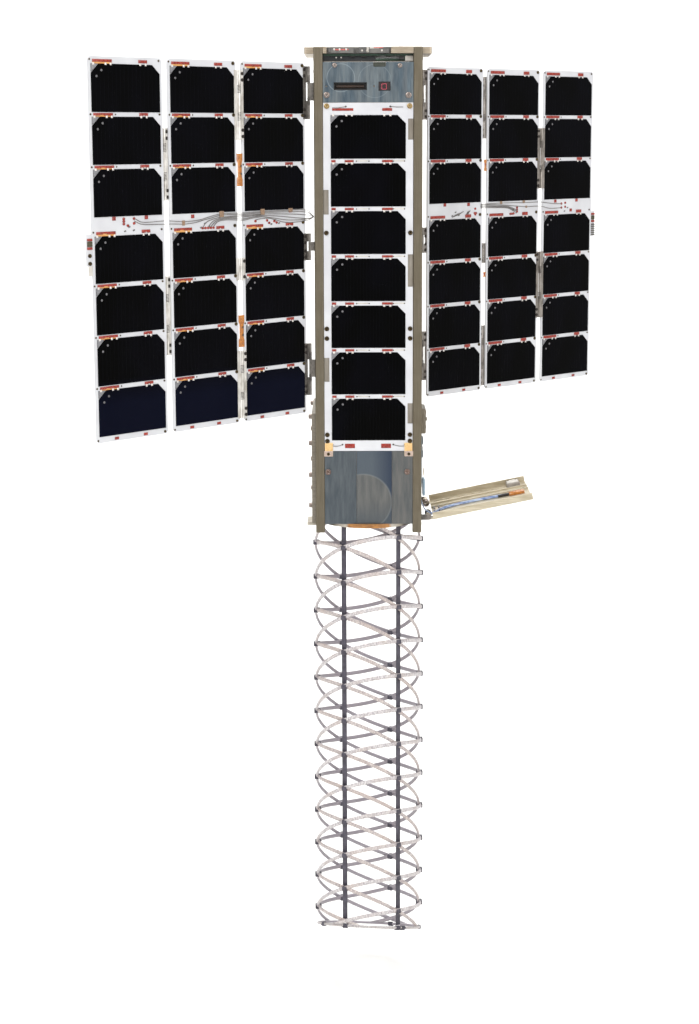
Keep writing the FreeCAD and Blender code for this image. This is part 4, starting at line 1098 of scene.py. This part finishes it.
def wing_harness():
    """The thin wires in the wide gap below row three, tied down where they leave a panel."""
    left = wing_frame("left")
    first = [
        [
            (4.4, 72.6, 3.0), (1.0, 75.0, 3.2), (-1.2, 78.4, 1.5), (-3.0, 78.4), (-9.0, 79.2), (-21.1, 79.0),
            (-40.0, 78.8), (-54.4, 78.8),
        ],
        [
            (4.4, 72.4, 3.0), (1.0, 74.0, 3.1), (-1.2, 76.6, 1.5), (-3.0, 76.6), (-9.0, 77.4), (-21.1, 77.4),
            (-40.0, 77.8), (-54.4, 77.8),
        ],
        [
            (4.4, 72.2, 3.0), (1.0, 73.0, 3.0), (-1.2, 73.9, 1.2), (-3.0, 73.9), (-9.0, 74.6), (-18.8, 75.2),
            (-40.0, 76.2), (-54.4, 76.6),
        ],
        [
            (4.4, 72.0, 3.0), (1.0, 71.4, 3.0), (-1.2, 70.6, 1.5), (-3.0, 70.6), (-9.0, 71.2), (-21.2, 72.4),
            (-38.5, 74.4), (-54.4, 75.2),
        ],
        [
            (4.4, 71.8, 3.0), (1.0, 70.2, 3.0), (-1.2, 68.8, 1.5), (-3.0, 68.8), (-9.0, 68.0), (-27.1, 67.4),
            (-38.6, 70.6), (-50.0, 73.4), (-62.0, 71.6),
        ],
        [
            (4.4, 71.7, 3.0), (1.0, 70.8, 3.0), (-1.2, 70.0, 1.5), (-3.0, 70.0), (-12.0, 69.6), (-27.1, 70.0),
            (-40.0, 72.4), (-54.4, 74.2),
        ],
    ]
    bundle("left_harness_root", first, left, jacket_radius, grey_jacket, "root",
           ("left_inner", (2.4, 75, 0), (-3.2, 75, 0)))
    second = [
        [
            (-54.4, 78.8), (-66.0, 78.4), (-76.0, 78.2, 0.9), (-84.0, 78.4, 0.9), (-94.6, 78.6),
            (-105.0, 78.0), (-116.3, 75.8), (-127.1, 73.1), (-142.9, 72.8),
        ],
        [
            (-54.4, 77.8), (-66.0, 77.4), (-76.0, 77.0, 0.9), (-84.0, 77.2, 0.9), (-96.0, 77.5),
            (-106.0, 76.6), (-113.1, 74.8), (-121.7, 73.4), (-132.0, 71.0), (-143.0, 70.6),
        ],
        [
            (-54.4, 76.6), (-66.0, 76.2), (-76.0, 75.9, 0.9), (-84.0, 75.9, 0.9), (-94.6, 75.6),
            (-105.5, 75.0), (-113.0, 73.4), (-118.5, 71.6), (-121.9, 67.2),
        ],
        [
            (-54.4, 75.2), (-66.0, 74.4), (-76.0, 72.6, 0.9), (-84.0, 73.4, 0.9), (-92.0, 74.0),
            (-102.3, 73.4), (-109.0, 71.6), (-113.2, 67.2),
        ],
        [
            (-54.4, 74.2), (-68.0, 73.2), (-76.0, 71.4, 0.9), (-84.0, 72.2, 0.9), (-94.0, 72.8),
            (-103.0, 72.4), (-108.0, 70.2), (-110.2, 67.2),
        ],
        [
            (-54.4, 76.0), (-66.0, 75.4), (-76.0, 74.6, 0.9), (-84.0, 74.9, 0.9), (-96.0, 74.8),
            (-106.0, 73.8), (-112.0, 71.6), (-116.2, 67.2),
        ],
    ]
    bundle("left_harness_middle", second, left, jacket_radius, grey_jacket, "left_inner",
           ("left_middle", (-77.0, 75, 0), (-83.0, 75, 0)))
    third = [
        [
            (-142.9, 72.8), (-152.0, 73.6), (-157.0, 74.0, 0.3), (-163.0, 74.3, 0.3), (-172.0, 74.0),
            (-184.0, 73.6), (-189.5, 74.6), (-193.0, 77.0),
        ],
        [
            (-143.0, 70.6), (-152.0, 71.2), (-157.0, 71.3, 0.3), (-163.0, 71.4, 0.3), (-176.0, 71.6),
            (-187.0, 72.0), (-192.0, 74.0), (-194.5, 75.4),
        ],
    ]
    bundle("left_harness_outer", third, left, 0.3, grey_jacket, "left_middle",
           ("left_outer", (-157.0, 72, 0), (-163.0, 72, 0)))
    right = wing_frame("right")
    lines = [
        [
            (74.5, 77.2), (77.4, 77.8, 0.3), (84.4, 77.6, 0.3), (97.0, 78.0), (110.0, 78.0), (128.0, 77.6),
            (142.7, 77.4),
        ],
        [
            (74.5, 76.6), (77.4, 76.8, 0.3), (84.4, 77.0, 0.3), (97.2, 76.4), (116.5, 75.1), (134.5, 73.3),
            (142.7, 73.2),
        ],
        [
            (74.5, 75.6), (77.4, 75.8, 0.3), (84.0, 75.8, 0.3), (100.0, 75.0), (112.0, 74.6), (120.0, 72.4),
            (127.0, 69.6),
        ],
        [
            (74.5, 74.8), (77.4, 74.8, 0.3), (84.0, 74.9, 0.3), (100.0, 74.2), (112.0, 73.8), (119.0, 71.6),
            (125.0, 69.0),
        ],
        [
            (74.5, 73.8), (77.4, 73.8, 0.3), (84.0, 73.9, 0.3), (100.0, 73.4), (112.0, 73.0), (118.0, 70.8),
            (123.0, 68.4),
        ],
    ]
    bundle("right_harness_middle", lines, right, jacket_radius, grey_jacket, "right_inner",
           ("right_middle", (77.0, 75, 0), (83.0, 75, 0)))
    lines = [
        [
            (142.7, 77.4), (152.0, 77.6, 0.4), (157.0, 77.6, 0.9), (163.0, 77.2, 0.9), (172.0, 76.0),
            (180.0, 75.2), (187.0, 74.8), (191.5, 75.0),
        ],
        [
            (142.7, 73.2), (152.0, 73.4, 0.4), (157.0, 73.3, 0.9), (163.0, 72.8, 0.9), (168.0, 71.4),
            (174.6, 70.3), (183.0, 70.3), (191.5, 70.7),
        ],
    ]
    bundle("right_harness_outer", lines, right, jacket_radius, grey_jacket, "right_middle",
           ("right_outer", (157.0, 75, 0), (163.0, 75, 0)))
    lines = [
        [(x + n * across, y + n * up) for x, y, across, up in (
            (36.0, 65.6, 1.6, 0.9), (40.0, 67.0, 1.6, 0.9), (44.0, 67.6, 1.6, 0.9), (48.0, 69.6, 1.5, 0.7),
        )] for n in range(3)
    ]
    lines += [
        [(x + n * 1.5, y + n * up) for x, y, up in ((54.0, 67.2, 0.6), (56.0, 69.2, 0.6), (57.0, 70.8, 0.5))]
        for n in range(3)
    ]
    bundle("right_inner_wires", lines, right, jacket_radius, grey_jacket, "right_inner")
    tie = block(5.0, 3.6, 0.34, lacing, 0.12, 0.1)
    for body, on, places in (
        ("left_inner", left, ((-21.4, 79.0, 1, 1), (-54.4, 78.4, 1, 1.5))),
        ("left_middle", left, ((-101.1, 78.0, 1, 1.5), (-142.9, 71.7, 0.6, 1.2))),
        ("right_middle", right, ((103.0, 78.4, 0.6, 0.8), (135.4, 78.4, 0.6, 0.8), (139.0, 73.2, 0.5, 0.6))),
    ):
        ties = [stamp(tie, on, x, y, 0.3, size=(wide, tall, 1)) for x, y, wide, tall in places]
        gather(body + "_ties", ties, body)


# The hold-down tabs: their middle along the wing, their level, and that of what lies on them.
clip_middle = 239.6
tab_level, on_tab = -1.5, -0.3


def edge_clips():
    """The small hold-down tabs beside the outer panels: one with two pads, the other with a ribbed bar."""
    tab = block(6.6, 27.0, 1.2, white_mask, 0.3)
    foot = block(4.2, 8.4, 1.2, pale_polymer, 0.3)
    olive_pad = moulded("olive_release_pad", "#4a4630", "#33301f", 0.5)
    grip = block(5.0, 4.4, 0.9, olive_pad, 0.3, 0.15)
    red = block(5.0, 2.2, 1.0, red_staking, 0.35, 0.2)
    knob = pan_screw(1.7, 0.7, black_screw)
    rib = block(5.4, 1.5, 1.2, grey_polymer, 0.25)
    left, right = wing_frame("left"), wing_frame("right")
    parts = [stamp(tab, left, -clip_middle, 52.5, tab_level), stamp(foot, left, -238.6, 35.0, tab_level)]
    parts += [stamp(red, left, -clip_middle, y, on_tab) for y in (61.2, 54.0)]
    parts += [stamp(shape, left, -clip_middle, y, on_tab) for shape, y in ((grip, 57.6), (knob, 47.8), (knob, 41.2))]
    gather("left_outer_edge_clip", parts, "left_outer")
    parts = [stamp(tab, right, clip_middle, 52.5, tab_level, size=(0.9, 1, 1))]
    parts += [stamp(red, right, 239.8, y, on_tab) for y in (62.6, 55.0)] + [stamp(grip, right, 239.8, 58.8, on_tab)]
    parts += [stamp(rib, right, 239.8, 51.5 - 2.2 * n, -0.4) for n in range(6)]
    gather("right_outer_edge_clip", parts, "right_outer")


# Lattice antenna

lattice_radius = 50.9
level_pitch = 34.3
rise_per_degree = 3 * level_pitch / 360
first_level = -238.1
first_column = -27.2
lean_right = -0.119
lean_back = -0.595
lattice_top = -222.35
end_level = -644.8
end_right = -0.049
end_back = -0.452
lean = Matrix(((1, 0, 0, 0), (0, 1, 0, 0), (lean_right, lean_back, 1, 0), (0, 0, 0, 1)))


def end_height(x, y):
    """The slanted plane on which the strands end."""
    return end_level + end_back * y + end_right * x


def squash_lattice(piece, *nodes):
    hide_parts(*nodes)
    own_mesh(piece)


def lattice_strands():
    """Six helical rods, three each way, that lean with the lattice and end on the slanted plane."""
    for name, node_name, hand, offset, material, slot in (
        ("right_hand_rods", "strands_right_hand", 1, 0.9, white_rod, "strand_white"),
        ("left_hand_rods", "strands_left_hand", -1, -0.9, beige_rod, "strand_beige"),
    ):
        before, sweep = 360.0, 2000.0
        rod = coil(
            lattice_radius + offset, 1.3, -sweep * rise_per_degree, 0, material, 10, 40, -hand * sweep, 1.6,
        )
        rods = []
        for number in range(3):
            turn = first_column + 120 * number + hand * before - 90
            copy = rod.copy()
            copy.data = rod.data.copy()
            bpy.context.scene.collection.objects.link(copy)
            copy.data.transform(Matrix.Rotation(math.radians(turn), 4, 'Z'))
            copy.data.transform(Matrix.Translation((0, 0, first_level + before * rise_per_degree)))
            copy.data.transform(lean)
            open_faces(copy, everything)
            bpy.ops.mesh.bisect(plane_co=(0, 0, lattice_top), plane_no=(0, 0, 1), use_fill=True, clear_outer=True)
            bpy.ops.mesh.select_all(action='SELECT')
            bpy.ops.mesh.bisect(
                plane_co=(0, 0, end_level), plane_no=(end_right, end_back, -1), use_fill=True, clear_outer=True,
            )
            close()
            copy.data.transform(Matrix.Scale(MM, 4))
            rods.append(copy)
        piece = gather(name, rods, "root")
        smooth(piece, 60)
        squash_lattice(piece, node_name)


# A crossing nearer than this to the end ring or to the lattice's top has no clamp.
clamp_from_end, clamp_from_top = 8.2, 5


def lattice_clamps():
    """A dark wrap round each crossing, no prouder than the strands."""
    wrap = fresh("cube", size=1.0, scale=(5.4, 5.4, 7.0))
    open_faces(wrap, lambda middle, normal: abs(normal.x) > 0.9)
    bpy.ops.transform.resize(value=(0.94, 0.8, 0.9))
    bpy.ops.mesh.inset(thickness=0.5)
    bpy.ops.transform.resize(value=(0.9, 1, 1))
    close()
    ease(wrap, 0.45)
    pattern(wrap, charcoal)
    parts = []
    for column in range(6):
        a = math.radians(first_column + 60 * column)
        x, y = lattice_radius * math.sin(a), -lattice_radius * math.cos(a)
        z = first_level + (level_pitch / 2 if column % 2 else 0) + lean_right * x + lean_back * y
        out = Vector((math.sin(a), -math.cos(a), 0))
        while z > end_height(x, y) + clamp_from_end:
            if z < lattice_top - clamp_from_top:
                parts.append(stamp(wrap, face_frame((x, y, z), Vector((0, 0, 1)).cross(out)), 0, 0))
            z -= level_pitch
    squash_lattice(gather("crossing_clamps", parts, "root"), "lattice_joints")


# Where round the lattice the lengthwise strips lie, and how far from its middle.
band_angles, band_reach = (-30.2, 37.0), 46.8


def lattice_bands():
    """The two lengthwise composite strips inside the front of the lattice."""
    strips = []
    for angle in band_angles:
        a = math.radians(angle)
        out = Vector((math.sin(a), -math.cos(a), 0))
        low = end_height(band_reach * out.x, band_reach * out.y) + 1.6
        high = lattice_top - 0.3
        strip = block(5.2, high - low, 0.8, charcoal, 0.2, 0.1, 0.2)
        on = face_frame(out * band_reach + Vector((0, 0, (high + low) / 2)), Vector((0, 0, 1)).cross(out))
        strips.append(stamp(strip, on, 0, 0))
    squash_lattice(gather("lengthwise_bands", strips, "root"), "lattice_strips")


# Where round the ring its dark clamps sit, and how far the ring's middle lies under the strands' ends.
cuff_angles, ring_drop = (-62, -27.2, 32.8, 92.8, 152.8, 212.8, 40), 1.7


def end_ring():
    """The slanted ring under the strands, with its dark clamps."""
    ring = fresh("torus", major_radius=lattice_radius, minor_radius=1.6, major_segments=96, minor_segments=10)
    slant = Matrix(((1, 0, 0, 0), (0, 1, 0, 0), (end_right, end_back, 1, end_level - ring_drop), (0, 0, 0, 1)))
    ring.data.transform(slant)
    open_faces(ring, lambda middle, normal: normal.z < -0.8)
    bpy.ops.transform.translate(value=(0, 0, 0.25))
    close()
    smooth(ring, 60)
    pattern(ring, ring_rod)
    parts = [stamp(ring, Matrix.Scale(MM, 4), 0, 0)]
    cuff = coil(1.75, 0.55, 5.0, 5, charcoal, 6, 12)
    for angle in cuff_angles:
        a = math.radians(angle)
        out = Vector((math.sin(a), -math.cos(a), 0))
        along = Vector((0, 0, 1)).cross(out)
        along.z = end_back * along.y + end_right * along.x
        along.normalize()
        place = out * lattice_radius
        place.z = end_height(place.x, place.y) - ring_drop
        turned = Matrix((out, along.cross(out), along)).transposed().to_4x4()
        on = Matrix.Translation((place - along * 2.5) * MM) @ turned @ Matrix.Scale(MM, 4)
        parts.append(stamp(cuff, on, 0, 0))
    piece = gather("slanted_end_ring", parts, "antenna_end")
    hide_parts("lattice_end_ring")


# Tray arm

tray_raise = math.radians(11.5)
tray_axis = Vector((57.5, 0, -214.5))
tray_frame = (
    Matrix.Translation(tray_axis * MM) @ Matrix.Rotation(-tray_raise, 4, 'Y') @ Matrix.Scale(MM, 4)
)


def tray_details():
    """Leads, sleeve, tape, rungs and springs on the tray."""
    floor = -1.8
    leads_lines = []
    for shift, rise in ((0.0, 0.8), (1.3, 0.8), (0.6, 1.9)):
        route = ((7.0, -24.0), (14.0, -12.0), (26.0, -7.0), (44.0, -6.6), (60.0, -7.4), (74.0, -8.6), (94.0, -9.6))
        laid = [(x, y + shift, floor + rise) for x, y in route]
        leads_lines.append([(3.0, -35.0 + shift, 0.6 + rise)] + laid)
    piece = bundle("tray_leads", leads_lines, tray_frame, 0.7, leads, "tray_arm")
    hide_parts("tray_cable")
    sleeve = [[(70.0, -8.0, floor + 1.1), (76.0, -8.4, floor + 1.3), (82.0, -8.8, floor + 1.3)]]
    bundle("tray_sleeve", sleeve, tray_frame, 1.5, black_polymer, "tray_arm")
    tape = [
        [(x, y + shift, floor + rise) for x, shift, rise in (
            (81.0, 0.0, 1.3), (85.0, -0.6, 1.5), (90.0, -0.4, 1.5), (95.5, 0.4, 1.1),
        )] for y in (-10.4, -7.4)
    ]
    bundle("tray_tape", tape, tray_frame, 2.1, amber_flex, "tray_arm")
    rung = block(1.4, 9.0, 1.3, spring_wire, 0.3)
    plate = block(8.0, 26.0, 0.6, filmed, 0.2, 0.1)
    ladder = [stamp(plate, tray_frame, 9.5, -8.0, floor)]
    ladder += [stamp(rung, tray_frame, x, y, floor + 0.5) for x in (7.0, 11.5) for y in (-14.0, -2.0)]
    gather("tray_connector", ladder, "tray_arm")
    ribs = []
    for y in (-37.0, -25.0, 11.0, 30.0):
        rib = block(88.0, 0.8, 0.5, tray_coat, 0.2, 0.1)
        ribs.append(stamp(rib, tray_frame, 52.0, y, floor))
    gather("tray_floor_lines", ribs, "tray_arm")
    screw = pan_screw(1.6, 0.8, black_screw)
    lid = block(11.0, 13.0, 0.5, pale_polymer, 0.2, 0.15)
    bits = [stamp(lid, tray_frame, 88.5, 30.5, 2.2)]
    bits += [stamp(screw, tray_frame, x, 35.2, 2.3, size=(0.6, 0.6, 0.8)) for x in (84.6, 92.4)]
    bits += [stamp(screw, tray_frame, 97.0, y, floor) for y in (-30.0, 8.0)]
    gather("tray_latch_details", bits, "tray_arm")
    dark_coil = coil(2.7, 0.55, 9.0, 7, spring_wire, 7, 14)
    pale_coil = coil(2.7, 0.55, 9.0, 7, steel_screw, 7, 14)
    turned = Matrix.Rotation(-math.pi / 2, 4, 'X')
    coils = []
    for shape, y in ((dark_coil, -27.6), (pale_coil, 18.6)):
        on = tray_frame @ Matrix.Translation((0, y, 0)) @ turned
        coils.append(stamp(shape, on, 0, 0, 0))
    gather("tray_springs", coils, "tray_arm")


def tray_lead_in():
    """The leads' last stretch from the body's flat cable to the tray, slack over the hinge."""
    lines = [
        [(x, y + shift, z) for x, y, z in (
            (48.8, -4.0, -190.0), (50.2, -12.0, -200.0), (52.4, -24.0, -207.6), (56.0, -33.6, -210.6),
            (60.4, -35.0, -211.9),
        )] for shift in (0.0, 1.0)
    ]
    on = Matrix.Scale(MM, 4)
    bundle("tray_lead_in", lines, on, 0.6, leads, "root",
           ("tray_arm", (55.5, -30.0, -211.0), (59.5, -34.0, -212.0)))


def right_side_details():
    """Small connectors, tape and fasteners on the release block and the flat cable."""
    on = face_frame((52.2, 0, 0), (0, 1, 0))
    plug = block(9.0, 7.0, 1.2, black_polymer, 0.35, -0.3, 0.2)
    nub = pan_screw(1.5, 0.7, steel_screw)
    tape = block(12.6, 7.6, 0.25, yellow_tape, 0.08)
    parts = [stamp(plug, on, 0, z) for z in (-147.0, -160.0)]
    parts += [stamp(nub, on, x, z) for x in (-4.6, 4.6) for z in (-153.6, -187.6)]
    gather("flat_cable_plugs", parts, "root")
    gather("yellow_mark", [stamp(tape, on, -20, -174.0, 0.8)], "root")
    bulge = block(12.0, 16.5, 2.3, blue_flat, 0.8, 0.3, 0.25)
    gather("flat_cable_bulge", [stamp(bulge, on, -20, -188.6, -0.2)], "root")
    block_face = face_frame((55.6, 0, 0), (0, 1, 0))
    heads = [stamp(nub, block_face, x, z, 0.0) for x in (-4.5, 11.5) for z in (-119.0, -133.0)]
    gather("release_block_screws", heads, "root")


def deck_details():
    """Fasteners round the antenna's disc, seen from below."""
    under = face_frame((0, 0, -222.3), (1, 0, 0), (0, -1, 0))
    cap = pan_screw(1.8, 1.2, steel_screw)
    heads = []
    for number in range(12):
        a = math.radians(30 * number + 12)
        heads.append(stamp(cap, under, 40 * math.sin(a), 40 * math.cos(a), 0))
    gather("disc_screws", heads, "root")
    hub = fresh("cylinder", vertices=48, radius=24.0, depth=1.4, location=(0, 0, 0.7))
    open_faces(hub, facing_up)
    bpy.ops.mesh.inset(thickness=3.0)
    bpy.ops.transform.translate(value=(0, 0, -0.6))
    bpy.ops.mesh.inset(thickness=9.0)
    bpy.ops.transform.translate(value=(0, 0, 0.8))
    close()
    ease(hub, 0.3)
    pattern(hub, filmed)
    gather("disc_hub", [stamp(hub, under, 0, 0, 0)], "root")


def studio():
    """A pale paper sweep behind and under the object, and soft lamps."""
    sweep = fresh("plane", (7.0, 5.0, 1), size=1.0, location=(0, -0.3, -0.70))
    bpy.context.view_layer.objects.active = sweep
    bpy.ops.object.mode_set(mode='EDIT')
    bpy.ops.mesh.select_mode(type='EDGE')
    bpy.ops.mesh.select_all(action='DESELECT')
    bpy.ops.object.mode_set(mode='OBJECT')
    for edge in sweep.data.edges:
        ends = [sweep.data.vertices[v].co for v in edge.vertices]
        edge.select = all(end.y > 2.0 for end in ends)
    bpy.ops.object.mode_set(mode='EDIT')
    bpy.ops.mesh.extrude_region_move(TRANSFORM_OT_translate={"value": (0, 0, 3.4)})
    close()
    use_modifier(sweep, 'BEVEL', width=1.3, segments=24, limit_method='ANGLE')
    smooth(sweep, 60)
    sweep.name = "paper_sweep"
    coat(sweep, paper("studio_paper", "#ececea"))
    world = bpy.data.worlds.new("room")
    bpy.context.scene.world = world
    world.use_nodes = True
    tree = world.node_tree
    tree.nodes.clear()
    ray = node(tree, "LightPath").outputs
    seen = ray["Is Camera Ray"]
    for kind in ("Is Transmission Ray", "Is Glossy Ray"):
        seen = node(tree, "Math", {0: seen, 1: ray[kind]}, operation='MAXIMUM').outputs[0]
    level = spread(tree, seen, 0.0, 1.0, 0.5, 0.95)
    room = node(tree, "Background", {"Color": linear("#f6f5f4"), "Strength": level})
    node(tree, "OutputWorld", {"Surface": room.outputs[0]})
    add_lamp("key", (-1.5, -2.4, 1.7), (0, 0, -0.1), 1.8, 62)
    add_lamp("fill", (1.9, -2.1, 0.7), (0, 0, -0.15), 1.8, 34)
    add_lamp("top", (0.1, 0.5, 2.4), (0, 0.2, 0), 2.2, 34)
    add_lamp("backdrop", (0, 0.9, 2.3), (0, 2.2, 0.1), 2.0, 70)


add_camera()
cell_fittings()
wing_screws()
board_marks()
body_screws()
body_wires()
service_details()
plate_screws()
hinge_details()
flex_straps()
wing_harness()
edge_clips()
lattice_strands()
lattice_clamps()
lattice_bands()
end_ring()
tray_details()
tray_lead_in()
right_side_details()
deck_details()
for shape in patterns:
    bpy.data.objects.remove(shape)
studio()
bpy.context.scene.view_settings.view_transform = 'Standard'
